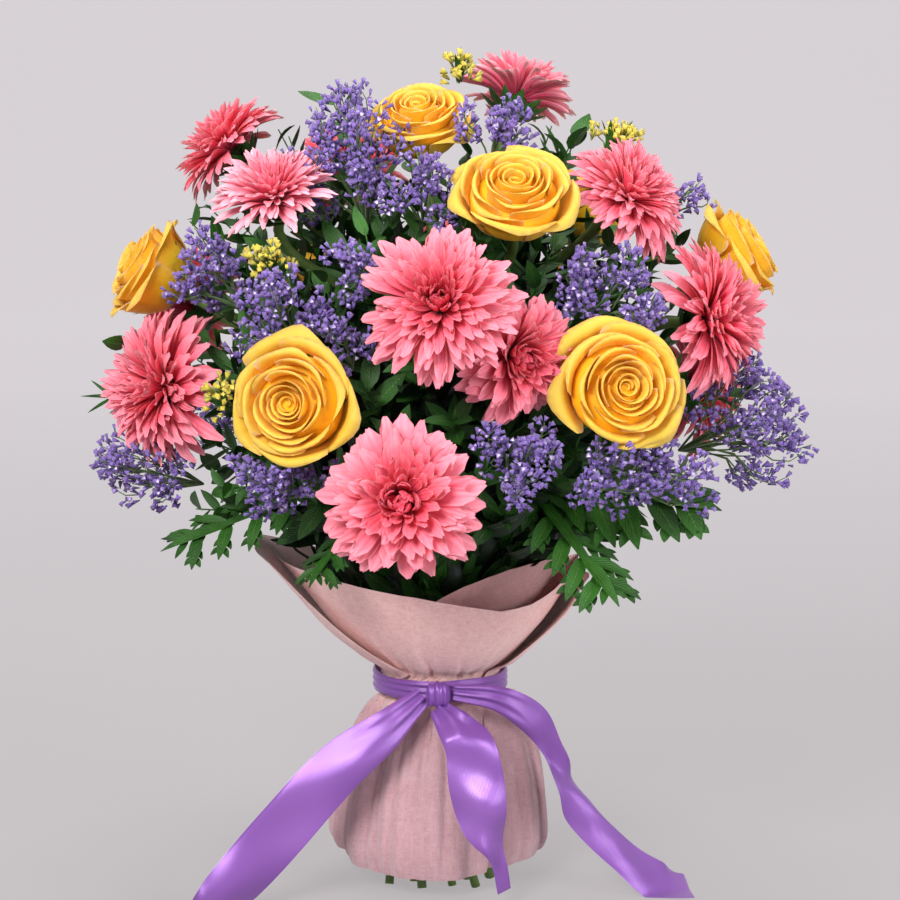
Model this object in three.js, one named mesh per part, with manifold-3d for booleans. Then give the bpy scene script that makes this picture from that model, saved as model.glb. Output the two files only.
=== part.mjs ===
// A hand-tied mixed bouquet that stands on its cut stems: pink chrysanthemums, yellow roses, purple sea
// lavender, yellow buds and cut-edged leaves, wrapped in two sheets of dusty pink floral felt and tied with
// a purple satin ribbon. Millimetres, +Z up. The side that is seen first looks along -Y.
// The origin is the centre of the middle stem's cut end, on the surface that the bouquet stands on.

import * as THREE from "three";
import { ConvexGeometry } from "three/addons/geometries/ConvexGeometry.js";
import { mergeVertices } from "three/addons/utils/BufferGeometryUtils.js";
import Module from "manifold-3d";

const wasm = await Module();
wasm.setup();

// Driving sizes
const TIE_HEIGHT = 123; // the ribbon's middle above the surface
const TIE_RADIUS = 28; // the bundle of stems where the string holds it
const STRING_OUTER = 31.2;
const FOOT_RADIUS = 46; // how far the cut ends spread
const HEAD_CIRCLE = 150; // how far the outer heads lie from the axis
const STEM_TURN = 0.8; // how far round a stem goes between its head and the tie, in radians
const FOOT_TWIST = 1.3; // how far round a foot lies from its place at the tie
const MUM_STEM = 2.8; // stem radii
const ROSE_STEM = 2.6;
const SPRAY_STEM = 1.6;
const GAP = 0.35; // the clearance that touching pieces keep
const RIBBON_WIDTH = 38;
const RIBBON_THICK = 0.8;
const FELT_THICK = 0.9;
const FELT_LIFT = 4.6; // how far the back sheet lies outside the front one
const BAND_INNER = 38.8;
const BAND_THICK = 2;
const BAND_HEIGHT = 13;
const KNOT = { at: [-1, -46.8, 123], half: [9, 5.4, 8] };
const CORE_CENTRE = [0, 0, 285];
const CORE_RADII = [78, 78, 94];
const STEM_DEPTH = 0.6; // where a stem passes through the core, as a share of the core's radii
const FOCUS = [0, 0, 215]; // the point that sprays look away from
const CORE_SHARE = 0.42; // a spray's core, as a share of its half sizes
const GOLDEN = Math.PI * (3 - Math.sqrt(5));

// Heads. at: the head's centre. faces: [azimuth, elevation] in degrees, where azimuth 0 looks along -Y and
// 90 along +X. across: the width over its petals.
const MUMS = [
  { name: "mum_left", at: [-156, -42, 305], faces: [-52, 8], across: 98 },
  { name: "mum_upper_left", at: [-93, -58, 413], faces: [-20, 58], across: 86 },
  { name: "mum_shoulder_left", at: [-121, 10, 439], faces: [-95, 42], across: 78 },
  { name: "mum_centre", at: [1, -152, 364], faces: [-4, 20], across: 97 },
  { name: "mum_centre_low", at: [39, -118, 334], faces: [30, -4], across: 86 },
  { name: "mum_front_low", at: [-19, -162, 260], faces: [-3, 8], across: 98 },
  { name: "mum_upper_right", at: [105, -46, 414], faces: [48, 40], across: 82 },
  { name: "mum_right", at: [151, -48, 346], faces: [62, 12], across: 97 },
  { name: "mum_top", at: [45, 48, 467], faces: [150, 58], across: 84 },
  { name: "mum_back_left", at: [-148, 62, 340], faces: [-115, 18], across: 88 },
  { name: "mum_back_low", at: [-62, 148, 262], faces: [-157, 8], across: 90 },
  { name: "mum_back_centre", at: [0, 150, 350], faces: [180, 22], across: 92 },
  { name: "mum_back_upper", at: [-60, 92, 418], faces: [-150, 50], across: 84 },
  { name: "mum_back_right", at: [150, 44, 294], faces: [106, 6], across: 90 },
];
const ROSES = [
  { name: "rose_front_left", at: [-79, -140, 310], faces: [-18, 6], across: 78 },
  { name: "rose_top_front", at: [42, -92, 421], faces: [3, 48], across: 76 },
  { name: "rose_front_right", at: [100, -126, 316], faces: [14, 12], across: 80 },
  { name: "rose_left", at: [-173, -8, 370], faces: [-78, 30], across: 72 },
  { name: "rose_crown", at: [-12, -20, 460], faces: [-12, 58], across: 68 },
  { name: "rose_right", at: [180, 14, 379], faces: [84, 32], across: 74 },
  { name: "rose_back_upper", at: [88, 94, 402], faces: [142, 44], across: 74 },
  { name: "rose_back_centre", at: [74, 146, 328], faces: [158, 8], across: 74 },
  { name: "rose_back_left", at: [-96, 132, 342], faces: [-146, 14], across: 74 },
];
// Sprays of sea lavender and of yellow buds. half: half the spray's width, depth and height.
const LAVENDERS = [
  { name: "lavender_upper_left", at: [-53, -44, 442], half: [33, 20, 38] },
  { name: "lavender_beside_crown", at: [-11, -84, 429], half: [18, 14, 20] },
  { name: "lavender_over_centre", at: [-46, -112, 383], half: [14, 13, 17] },
  { name: "lavender_left_high", at: [-133, -58, 377], half: [21, 17, 22] },
  { name: "lavender_left_mid", at: [-92, -112, 358], half: [26, 16, 20] },
  { name: "lavender_left_inner", at: [-57, -122, 343], half: [16, 15, 19] },
  { name: "lavender_crown_right", at: [33, -44, 462], half: [20, 15, 16] },
  { name: "lavender_right_high", at: [96, -96, 370], half: [31, 19, 23] },
  { name: "lavender_far_right", at: [186, -46, 279], half: [31, 26, 37] },
  { name: "lavender_right_low", at: [111, -128, 268], half: [36, 20, 22] },
  { name: "lavender_front_low", at: [46, -146, 280], half: [24, 18, 20] },
  { name: "lavender_left_low", at: [-91, -132, 263], half: [32, 18, 15] },
  { name: "lavender_far_left", at: [-175, -40, 256], half: [29, 24, 24] },
  { name: "lavender_back_low", at: [22, 152, 276], half: [28, 18, 20] },
  { name: "lavender_back_left", at: [-140, 106, 272], half: [22, 22, 24] },
  { name: "lavender_back_right", at: [122, 104, 266], half: [30, 28, 26] },
  { name: "lavender_right_top", at: [148, 6, 416], half: [9, 9, 10] },
];
const BUDS = [
  { name: "buds_left", at: [-97, -96, 386], half: [11, 9, 11] },
  { name: "buds_low_left", at: [-125, -98, 308], half: [8, 8, 10] },
  { name: "buds_right", at: [103, -8, 450], half: [15, 11, 13] },
  { name: "buds_crown", at: [12, 5, 488], half: [7, 7, 15] },
];
// Leaves with cut edges. root and tip: the two ends of the rib. arch: how far its middle lies above the
// straight line between them. width: over the widest lobes. turn: the roll of the blade about its rib.
const LEAVES = [
  { name: "leaf_right_rim", root: [46, -48, 248], tip: [98, -132, 188], arch: 16, width: 56, turn: 8 },
  { name: "leaf_right_rim_outer", root: [52, -40, 248], tip: [160, -98, 238], arch: 12, width: 56, turn: 30 },
  { name: "leaf_left_rim", root: [-52, -40, 246], tip: [-158, -94, 214], arch: 12, width: 46, turn: -30 },
  { name: "leaf_front_rim", root: [-36, -48, 242], tip: [-72, -122, 200], arch: 8, width: 36, turn: 0 },
  { name: "leaf_far_left", root: [-62, 8, 285], tip: [-216, 12, 292], arch: 6, width: 24, turn: -60 },
  { name: "leaf_back_rim", root: [14, 46, 250], tip: [46, 152, 196], arch: 18, width: 54, turn: 0 },
  { name: "leaf_back_left", root: [-30, 34, 250], tip: [-118, 128, 204], arch: 16, width: 48, turn: 0 },
];

// Colours of each kind of piece
const FINISHES = {
  mum: { color: 0xf07f92, roughness: 0.6, metalness: 0 },
  rose: { color: 0xf8cd3a, roughness: 0.5, metalness: 0 },
  lavender: { color: 0x6a55b0, roughness: 0.7, metalness: 0 },
  bud: { color: 0xd6c23e, roughness: 0.6, metalness: 0 },
  leaf: { color: 0x1f6b24, roughness: 0.5, metalness: 0 },
  stem: { color: 0x4d7a33, roughness: 0.55, metalness: 0 },
  felt: { color: 0xd3a3a4, roughness: 0.9, metalness: 0 },
  ribbon: { color: 0x9a63cf, roughness: 0.3, metalness: 0 },
  string: { color: 0xbfa67a, roughness: 0.9, metalness: 0 },
};

const degrees = THREE.MathUtils.degToRad;
const mix = THREE.MathUtils.lerp;
const bouquet = new THREE.Group();
for (const rose of ROSES) rose.petals = "rose";

// A repeatable stream of numbers from 0 to 1.
function seeded(seed) {
  let state = seed >>> 0;
  return () => {
    state = (Math.imul(state, 1664525) + 1013904223) >>> 0;
    return state / 4294967296;
  };
}

function facing([azimuth, elevation]) {
  const a = degrees(azimuth);
  const e = degrees(elevation);
  return new THREE.Vector3(Math.sin(a) * Math.cos(e), -Math.cos(a) * Math.cos(e), Math.sin(e));
}

// The matrix that stands a head's own +Z along its axis, at its place.
function headMatrix(head) {
  const turn = new THREE.Quaternion().setFromUnitVectors(new THREE.Vector3(0, 0, 1), facing(head.faces));
  return new THREE.Matrix4().compose(new THREE.Vector3(...head.at), turn, new THREE.Vector3(1, 1, 1));
}

// Solids and geometries
function bare(geometry) {
  const copy = new THREE.BufferGeometry();
  copy.setAttribute("position", geometry.getAttribute("position"));
  copy.setIndex(geometry.index);
  return copy;
}

function solidOf(geometry) {
  const merged = mergeVertices(bare(geometry), 1e-4);
  return new wasm.Manifold(
    new wasm.Mesh({
      numProp: 3,
      vertProperties: new Float32Array(merged.attributes.position.array),
      triVerts: new Uint32Array(merged.index.array),
    }),
  );
}

function geometryOf(solid) {
  const mesh = solid.getMesh();
  const positions = new Float32Array(mesh.numVert * 3);
  for (let i = 0; i < mesh.numVert; i++)
    positions.set(mesh.vertProperties.subarray(i * mesh.numProp, i * mesh.numProp + 3), i * 3);
  const geometry = new THREE.BufferGeometry();
  geometry.setAttribute("position", new THREE.BufferAttribute(positions, 3));
  geometry.setIndex(new THREE.BufferAttribute(new Uint32Array(mesh.triVerts), 1));
  return geometry;
}

const joined = (solids) => solids.reduce((sum, solid) => sum.add(solid));
const largest = (solid) => solid.decompose().reduce((a, b) => (b.volume() > a.volume() ? b : a));

function pointsOf(solid) {
  const position = geometryOf(solid).getAttribute("position");
  const pointAt = (i) => new THREE.Vector3().fromBufferAttribute(position, i);
  return Array.from({ length: position.count }, (_, i) => pointAt(i));
}

// The convex room that a piece needs, grown by a little more than the clearance.
function roomOf(solid) {
  const points = pointsOf(solid);
  const box = new THREE.Box3().setFromPoints(points);
  const middle = box.getCenter(new THREE.Vector3());
  const reach = box.getSize(new THREE.Vector3()).length() / 2;
  const growth = 1 + (2.2 * GAP) / reach;
  const grown = points.map((p) => p.clone().sub(middle).multiplyScalar(growth).add(middle));
  return { box: new THREE.Box3().setFromPoints(grown), solid: solidOf(new ConvexGeometry(grown)) };
}

// What is left of a solid, or of a list of small solids, once the rooms of other pieces are cut away.
function clearOf(solid, rooms) {
  const box = new THREE.Box3().setFromPoints(pointsOf(solid));
  const near = rooms.filter((room) => room.box.intersectsBox(box));
  return near.reduce((rest, room) => rest.subtract(room.solid), solid);
}

function addPiece(name, solid, kind) {
  const mesh = new THREE.Mesh(geometryOf(solid), new THREE.MeshStandardMaterial(FINISHES[kind]));
  mesh.name = name;
  bouquet.add(mesh);
}

// A solid from loose points and triangles, whichever way round they run.
function closed(points, faces) {
  const build = (triangles) => {
    const geometry = new THREE.BufferGeometry();
    const flat = points.flatMap((p) => [p.x, p.y, p.z]);
    geometry.setAttribute("position", new THREE.BufferAttribute(new Float32Array(flat), 3));
    geometry.setIndex(triangles);
    return solidOf(geometry);
  };
  const solid = build(faces);
  return solid.volume() > 0 ? solid : build(faces.slice().reverse());
}

// A closed solid through rings of equal point counts. A last ring of one point closes to a tip.
function loft(rings) {
  const count = rings[0].length;
  const tip = rings[rings.length - 1].length === 1;
  const bands = rings.length - (tip ? 2 : 1);
  const faces = [];
  for (let r = 0; r < bands; r++)
    for (let i = 0; i < count; i++) {
      const [a, b] = [r * count + i, r * count + ((i + 1) % count)];
      faces.push(a, b, a + count, b, b + count, a + count);
    }
  for (let i = 1; i < count - 1; i++) faces.push(0, i + 1, i);
  const last = bands * count;
  if (tip) for (let i = 0; i < count; i++) faces.push(last + i, last + ((i + 1) % count), last + count);
  else for (let i = 1; i < count - 1; i++) faces.push(last, last + i, last + i + 1);
  return closed(rings.flat(), faces);
}

// A thin closed sheet of even thickness about a surface that place(u, v) gives for u and v from 0 to 1.
function sheet(place, across, along, thickness) {
  const step = 1e-3;
  const outer = [];
  const inner = [];
  for (let j = 0; j <= along; j++)
    for (let i = 0; i <= across; i++) {
      const [u, v] = [i / across, j / along];
      const point = place(u, v);
      const du = place(Math.min(u + step, 1), v).sub(place(Math.max(u - step, 0), v));
      const dv = place(u, Math.min(v + step, 1)).sub(place(u, Math.max(v - step, 0)));
      const normal = du.cross(dv).normalize().multiplyScalar(thickness / 2);
      outer.push(point.clone().add(normal));
      inner.push(point.clone().sub(normal));
    }
  const row = across + 1;
  const under = outer.length;
  const faces = [];
  for (let j = 0; j < along; j++)
    for (let i = 0; i < across; i++) {
      const a = j * row + i;
      faces.push(a, a + 1, a + row, a + 1, a + row + 1, a + row);
      faces.push(under + a, under + a + row, under + a + 1);
      faces.push(under + a + 1, under + a + row, under + a + row + 1);
    }
  const rim = [];
  for (let i = 0; i < across; i++) rim.push([i, i + 1]);
  for (let j = 0; j < along; j++) rim.push([j * row + across, (j + 1) * row + across]);
  for (let i = across; i > 0; i--) rim.push([along * row + i, along * row + i - 1]);
  for (let j = along; j > 0; j--) rim.push([j * row, (j - 1) * row]);
  for (const [a, b] of rim) faces.push(b, a, under + a, b, under + a, under + b);
  return closed([...outer, ...inner], faces);
}

// A solid of revolution about +Z from [radius, height] pairs. It starts and ends on the axis, or closes.
function turnedSolid(profile, sides) {
  const wheel = new THREE.LatheGeometry(profile.map(([r, h]) => new THREE.Vector2(r, h)), sides);
  wheel.rotateX(Math.PI / 2);
  const solid = solidOf(wheel);
  return solid.volume() > 0 ? solid : solidOf(reversed(wheel));
}

function reversed(geometry) {
  const other = new THREE.BufferGeometry();
  other.setAttribute("position", geometry.getAttribute("position"));
  other.setIndex(Array.from(geometry.index.array).reverse());
  return other;
}

// Chrysanthemum: strap petals grow out of the facets of a small domed receptacle. The facets are lozenges
// in staggered rows, one petal each. Inner petals stand up, outer ones lie out and a little back, and the
// tips lie on a flattened dome.
const MUM_COLUMNS = 7;
const MUM_FLATNESS = 0.74; // the dome's height as a share of its radius
const MUM_BASE = 11; // how far the flat base lies behind the head's centre, for a head 90 mm across
const MUM_BASE_RADIUS = 9;
// Row of facet corners: [radius, height].
const MUM_DOME = [[7, 19], [14, 14.5], [18, 7], [17.5, -1.5], [13, -7.5]];
// Row of petals: [lean from the head's axis in degrees, half width at the belly, half width at the tip].
const MUM_ROWS = [[24, 3.6, 2], [50, 5.6, 3], [76, 7.4, 3.8], [101, 8.2, 4.2]];
function mumHead(head, index) {
  const random = seeded(101 + index);
  const radius = head.across / 2;
  const scale = radius / 45;
  const points = [];
  const faces = [];
  const corner = (row, column) => row * MUM_COLUMNS + ((column + MUM_COLUMNS) % MUM_COLUMNS);
  const angleOf = (row, column) => ((column + (row % 2) / 2) / MUM_COLUMNS) * Math.PI * 2;
  MUM_DOME.forEach(([r, h], row) => {
    for (let column = 0; column < MUM_COLUMNS; column++) {
      const angle = angleOf(row, column);
      points.push(new THREE.Vector3(r * Math.cos(angle), r * Math.sin(angle), h).multiplyScalar(scale));
    }
  });
  const apex = points.push(new THREE.Vector3(0, 0, 24 * scale)) - 1;
  const base = points.length;
  for (let column = 0; column < MUM_COLUMNS; column++) {
    const angle = angleOf(0, column);
    const [x, y] = [MUM_BASE_RADIUS * Math.cos(angle), MUM_BASE_RADIUS * Math.sin(angle)];
    points.push(new THREE.Vector3(x, y, -MUM_BASE).multiplyScalar(scale));
  }
  const last = MUM_DOME.length - 1;
  for (let column = 0; column < MUM_COLUMNS; column++) {
    const next = (column + 1) % MUM_COLUMNS;
    faces.push(corner(0, column), corner(0, next), apex);
    faces.push(corner(0, column), corner(1, column), corner(0, next));
    faces.push(base + column, base + next, corner(last, next));
    faces.push(base + column, corner(last, next), corner(last, column));
    if (column > 1) faces.push(base, base + column, base + column - 1);
  }
  MUM_ROWS.forEach(([lean, belly, tip], row) => {
    for (let column = 0; column < MUM_COLUMNS; column++) {
      // The lozenge lies between two corners of its own row, one of the row above and one of the row below.
      const own = row + 1;
      const shift = own % 2;
      const lozenge = {
        right: corner(own, column),
        left: corner(own, column + 1),
        above: corner(own - 1, column + shift),
        below: own === last ? null : corner(own + 1, column + shift),
      };
      const turn = angleOf(own, column + 0.5);
      mumPetal(points, faces, lozenge, turn, degrees(lean), radius, scale, [belly, tip], random);
    }
  });
  return closed(points, faces).transform(headMatrix(head).elements);
}

// One petal from its lozenge: three points round its belly, then two at its blunt tip.
function mumPetal(points, faces, lozenge, turn, lean, radius, scale, [belly, tip], random) {
  const radial = new THREE.Vector3(Math.cos(turn), Math.sin(turn), 0);
  const side = new THREE.Vector3(-Math.sin(turn), Math.cos(turn), 0);
  const along = (angle) => radial.clone().multiplyScalar(Math.sin(angle)).setZ(Math.cos(angle));
  const dome = Math.hypot(Math.sin(lean) / radius, Math.cos(lean) / (MUM_FLATNESS * radius));
  const reach = (0.93 + 0.07 * random()) / dome;
  const turned = lean + 0.12 * (random() - 0.5);
  const at = (t, half, lift, bend) =>
    along(turned + bend)
      .multiplyScalar(reach * t)
      .addScaledVector(side, half * scale)
      .addScaledVector(along(lean - Math.PI / 2), lift * scale);
  const { right, left, above, below } = lozenge;
  const first = points.length;
  points.push(at(0.74, -belly, 0, 0), at(0.76, 0, 2.4, 0), at(0.74, belly, 0, 0));
  points.push(at(1, -tip, 0, 0.07), at(1, tip, 0, 0.07));
  const [r, t, l, a, b] = [0, 1, 2, 3, 4].map((k) => first + k);
  faces.push(right, r, t, right, t, above, above, t, l, above, l, left);
  if (below === null) faces.push(left, l, r, left, r, right);
  else faces.push(right, below, r, below, l, r, below, left, l);
  faces.push(r, a, t, t, a, b, t, b, l, r, l, b, r, b, a);
}

// Rose: one closed body whose outline changes as it turns. Five outer petals, then three and three more
// inside them; each petal starts tucked in under its neighbour and ends lapping over the next.
// Row: [radius, height, petals round, start, how far a petal swells from its start to its end, rim arc].
const ROSE_BASE = 30; // how far the flat base lies behind the head's centre, for a rose 74 mm across
const ROSE_ROWS = [
  [7, -ROSE_BASE, 5, 0, 0, 0],
  [27, -10, 5, 0, 0.12, 0],
  [34.5, 6, 5, 0, 0.14, 5],
  [31, 7, 5, 0, 0.14, 5],
  [22, -5, 5, 0, 0.06, 0],
  [25, 12, 3, 5, 0.16, 3],
  [20.5, 13, 3, 5, 0.16, 3],
  [13, 2, 3, 5, 0.08, 0],
  [13.5, 15, 3, 0, 0.2, 2],
  [8.5, 15.5, 3, 0, 0.2, 2],
];
const ROSE_COLUMNS = 15;
function roseHead(head, index) {
  const random = seeded(301 + index);
  const scale = head.across / 74;
  const twist = random() * Math.PI * 2;
  const rings = ROSE_ROWS.map(([radius, height, petals, start, swell, arc]) =>
    Array.from({ length: ROSE_COLUMNS }, (_, column) => {
      const each = ROSE_COLUMNS / petals;
      const step = Math.floor(column / each);
      const share = (column - step * each) / (each - 1);
      const angle = twist + ((step + 0.04 + 0.92 * share) / petals) * Math.PI * 2 + start * 0.12;
      const r = radius * (1 + swell * (share - 0.5)) * scale;
      const h = (height - arc * Math.pow(2 * share - 1, 2)) * scale;
      return new THREE.Vector3(r * Math.cos(angle), r * Math.sin(angle), h);
    }),
  );
  rings.push([new THREE.Vector3(0, 0, 9 * scale)]);
  return loft(rings).transform(headMatrix(head).elements);
}

// Sea lavender or buds: cups grow out of the facets of a small core. The facet towards the stem stays
// plain. A negative depth hollows the cups' mouths, a positive one closes them to buds.
function sprayAxis(spray) {
  return new THREE.Vector3(...spray.at).sub(new THREE.Vector3(...FOCUS)).normalize();
}

function sprayHead(spray, index, form, depth) {
  const random = seeded(501 + index);
  const half = new THREE.Vector3(...spray.half);
  const ball = mergeVertices(bare(form), 1e-4);
  const facets = ball.index.array;
  const corner = (i) => new THREE.Vector3().fromBufferAttribute(ball.attributes.position, i);
  const stemward = new THREE.Quaternion().setFromUnitVectors(
    corner(facets[0]).add(corner(facets[1])).add(corner(facets[2])).normalize(),
    sprayAxis(spray).negate(),
  );
  const place = (p) => p.multiply(half).add(new THREE.Vector3(...spray.at));
  const corners = Array.from({ length: ball.attributes.position.count }, (_, i) => corner(i));
  const turned = corners.map((p) => p.applyQuaternion(stemward));
  const points = turned.map((p) => place(p.clone().multiplyScalar(CORE_SHARE)));
  const faces = [facets[0], facets[1], facets[2]];
  for (let f = 3; f < facets.length; f += 3) {
    const roots = [facets[f], facets[f + 1], facets[f + 2]];
    const out = roots.reduce((sum, i) => sum.add(turned[i]), new THREE.Vector3()).normalize();
    const reach = 0.86 + 0.14 * random();
    const size = 0.3 + 0.08 * random();
    const first = points.length;
    for (const i of roots) {
      const flare = turned[i].clone().addScaledVector(out, -turned[i].dot(out)).normalize();
      points.push(place(out.clone().multiplyScalar(reach).addScaledVector(flare, size)));
    }
    points.push(place(out.clone().multiplyScalar(reach + depth)));
    for (let k = 0; k < 3; k++) {
      const next = (k + 1) % 3;
      faces.push(roots[k], roots[next], first + next, roots[k], first + next, first + k);
      faces.push(first + k, first + next, first + 3);
    }
  }
  return closed(points, faces);
}

// Where a stem meets a head: the middle of the head's flat base, and the way out of the head there.
function seatOf(head) {
  if (head.half) {
    const half = new THREE.Vector3(...head.half);
    const out = sprayAxis(head).negate();
    const reach = out.clone().multiplyScalar(CORE_SHARE * head.facet).multiply(half);
    return { point: reach.add(new THREE.Vector3(...head.at)), way: out.divide(half).normalize() };
  }
  const depth = head.petals === "rose" ? (ROSE_BASE * head.across) / 74 : (MUM_BASE * head.across) / 90;
  const way = facing(head.faces).negate();
  return { point: new THREE.Vector3(...head.at).addScaledVector(way, depth), way };
}

// The stems that reach the surface are packed evenly at the tie. Each takes the free place nearest to one
// that lies STEM_TURN on from its head, and its foot lies farther round, so that the bundle spirals.
function placesAtTie(heads) {
  const free = heads.map((_, k) => {
    const radius = (TIE_RADIUS - MUM_STEM - 0.6) * Math.sqrt(k / (heads.length - 0.5));
    return new THREE.Vector2(radius * Math.cos(k * GOLDEN), radius * Math.sin(k * GOLDEN));
  });
  const places = new Map();
  for (const head of heads) {
    const { point } = seatOf(head);
    const wanted = new THREE.Vector2(point.x, point.y)
      .rotateAround(new THREE.Vector2(), STEM_TURN)
      .multiplyScalar(TIE_RADIUS / HEAD_CIRCLE);
    free.sort((a, b) => a.distanceTo(wanted) - b.distanceTo(wanted));
    places.set(head, free.shift());
  }
  return places;
}

// A stem's path to just short of its head. It starts inside the foliage for a spray, and for a bloom it
// comes up from the surface through its place at the tie.
function stemPath(head, tie, push) {
  const { point, way } = seatOf(head);
  const end = point.clone().addScaledVector(way, GAP);
  const bend = point.clone().addScaledVector(way, head.half ? 8 : 22).add(push);
  const centre = new THREE.Vector3(...CORE_CENTRE);
  const outward = bend.clone().sub(centre);
  const beyond = outward.clone().divide(new THREE.Vector3(...CORE_RADII)).length();
  const inside = outward.multiplyScalar(STEM_DEPTH / beyond).add(centre);
  if (!tie) return [inside, bend, end];
  const spread = tie.clone().rotateAround(new THREE.Vector2(), FOOT_TWIST);
  const foot = new THREE.Vector3(spread.x, spread.y, 0).multiplyScalar(FOOT_RADIUS / TIE_RADIUS);
  return [foot, new THREE.Vector3(tie.x, tie.y, TIE_HEIGHT), inside, bend, end];
}

function stemAlong(path, head, radius, sides) {
  const rings = path.map((point, i) => {
    const ahead = path[Math.min(i + 1, path.length - 1)].clone().sub(path[Math.max(i - 1, 0)]).normalize();
    if (point.z === 0) ahead.set(0, 0, 1);
    if (i === path.length - 1) ahead.copy(seatOf(head).way).negate();
    const toWorld = new THREE.Quaternion().setFromUnitVectors(new THREE.Vector3(0, 0, 1), ahead);
    return Array.from({ length: sides }, (_, k) => {
      const angle = (k / sides) * Math.PI * 2;
      const rim = new THREE.Vector3(radius * Math.cos(angle), radius * Math.sin(angle), 0);
      return rim.applyQuaternion(toWorld).add(point);
    });
  });
  return loft(rings);
}

// Of a straight stem and ones that are pushed aside, the first that clears every other head.
function clearStem(head, tie, rooms) {
  const yAxis = new THREE.Vector3(0, 1, 0);
  const toWay = new THREE.Quaternion().setFromUnitVectors(yAxis, seatOf(head).way);
  const pushes = [new THREE.Vector3()];
  for (const size of [10, 20, 30])
    for (let k = 0; k < 6; k++) {
      const push = new THREE.Vector3(size, 0, 0).applyAxisAngle(yAxis, (k * Math.PI) / 3);
      pushes.push(push.applyQuaternion(toWay));
    }
  const others = rooms.filter((room) => room.head !== head);
  const tries = pushes.map((push) => stemAlong(stemPath(head, tie, push), head, head.stem, tie ? 4 : 3));
  const crossed = (solid) => others.reduce((sum, room) => sum + room.solid.intersect(solid).volume(), 0);
  return tries.find((solid) => crossed(solid) < 1e-6) ?? tries[0];
}

// The foliage's dense middle.
function foliageCore(extra) {
  const form = new THREE.IcosahedronGeometry(1, 1);
  form.scale(...CORE_RADII.map((radius) => radius + extra));
  form.translate(...CORE_CENTRE);
  return solidOf(form);
}

// A plain pointed leaf. Its face looks outward.
function lanceLeaf(root, tip, outward, width) {
  const ahead = tip.clone().sub(root);
  const side = ahead.clone().cross(outward).normalize();
  const lift = side.clone().cross(ahead).normalize();
  const ring = (t, share, thick) => {
    const middle = root.clone().addScaledVector(ahead, t).addScaledVector(lift, 9 * Math.sin(Math.PI * t));
    const half = side.clone().multiplyScalar((width / 2) * share);
    const up = lift.clone().multiplyScalar(thick);
    return [
      middle.clone().add(half),
      middle.clone().add(up),
      middle.clone().sub(half),
      middle.clone().sub(up),
    ];
  };
  return loft([ring(0, 0.2, 0.8), ring(0.55, 1, 0.7), [tip]]);
}

// A leaf with cut edges: one flat outline of pointed lobes in pairs, arched along its rib.
function cutLeaf(leaf) {
  const root = new THREE.Vector3(...leaf.root);
  const tip = new THREE.Vector3(...leaf.tip);
  const ahead = tip.clone().sub(root);
  const length = ahead.length();
  const direction = ahead.clone().normalize();
  const side = direction.clone().cross(new THREE.Vector3(0, 0, 1)).normalize();
  side.applyAxisAngle(direction, degrees(leaf.turn));
  const lift = side.clone().cross(direction).normalize();
  const half = leaf.width / 2;
  // Each pair: how far along the rib the notch and the lobe's tip lie, and how far out the lobe reaches.
  const lobes = [[0.3, 0.42, 0.72], [0.5, 0.64, 1], [0.7, 0.84, 0.72]];
  const edge = [[0, 1.4 / half]];
  for (const [notch, point, out] of lobes) edge.push([notch, 0.16], [point, out], [point + 0.02, 0.6 * out]);
  edge.push([0.92, 0.2], [1, 0.02]);
  const rightSide = edge.map(([t, out]) => new THREE.Vector2(out * half, t * length));
  const leftSide = edge.map(([t, out]) => new THREE.Vector2(-out * half, t * length)).reverse();
  const outline = [...rightSide, ...leftSide];
  const triangles = THREE.ShapeUtils.triangulateShape(outline, []);
  const place = (p, thickness) => {
    const t = p.y / length;
    const droop = 0.22 * Math.abs(p.x) * (p.x / half) * Math.sign(p.x);
    return root
      .clone()
      .addScaledVector(direction, p.y)
      .addScaledVector(side, p.x)
      .addScaledVector(lift, 4 * leaf.arch * t * (1 - t) - droop + thickness);
  };
  const points = [...outline.map((p) => place(p, 0.5)), ...outline.map((p) => place(p, -0.5))];
  const count = outline.length;
  const faces = triangles.flatMap(([a, b, c]) => [a, b, c, a + count, c + count, b + count]);
  for (let i = 0; i < count; i++) {
    const next = (i + 1) % count;
    faces.push(next, i, i + count, next, i + count, next + count);
  }
  return closed(points, faces);
}

// The felt: both sheets follow one flared form, gathered at the tie. v runs from the hem to the rim.
// Row: [v, radius, height, shift to the right].
const FELT_FORM = [
  [0, 61, 15, -3],
  [0.1, 66, 32, -3],
  [0.2, 65, 62, -2],
  [0.3, 57, 90, -1],
  [0.4, 41, 109, 0],
  [0.5, 32.6, 116, 0],
  [0.6, 32.6, 130, 0],
  [0.7, 43, 138, 0],
  [0.8, 64, 153, -2],
  [0.9, 81, 174, -1],
  [1, 92, 196, -3],
];
const FELT_NECK = [0.5, 0.6];
// Rim heights by angle, where 0 is the front and 90 the right side.
const FRONT_RIM = [[-90, 204], [-45, 200], [-6, 191], [28, 179], [45, 181], [90, 190]];
const BACK_RIM = [
  [-270, 190],
  [-219, 176],
  [-195, 168],
  [-180, 166],
  [-150, 178],
  [-120, 197],
  [-90, 212],
  [-80, 207],
];
// How far each sheet reaches round at each v, in degrees from the front.
// The back sheet starts at its first angle and runs round the back to its second.
const FRONT_REACH = [
  [0, -150, 33],
  [0.3, -124, 32],
  [0.4, -96, 42],
  [0.5, -76, 60],
  [0.6, -68, 66],
  [0.8, -76, 80],
  [1, -88, 90],
];
const BACK_REACH = [
  [0, -132, -340],
  [0.3, -108, -340],
  [0.4, -84, -332],
  [0.5, -62, -320],
  [0.6, -42, -313],
  [0.8, -58, -298],
  [1, -82, -280],
];

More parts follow.
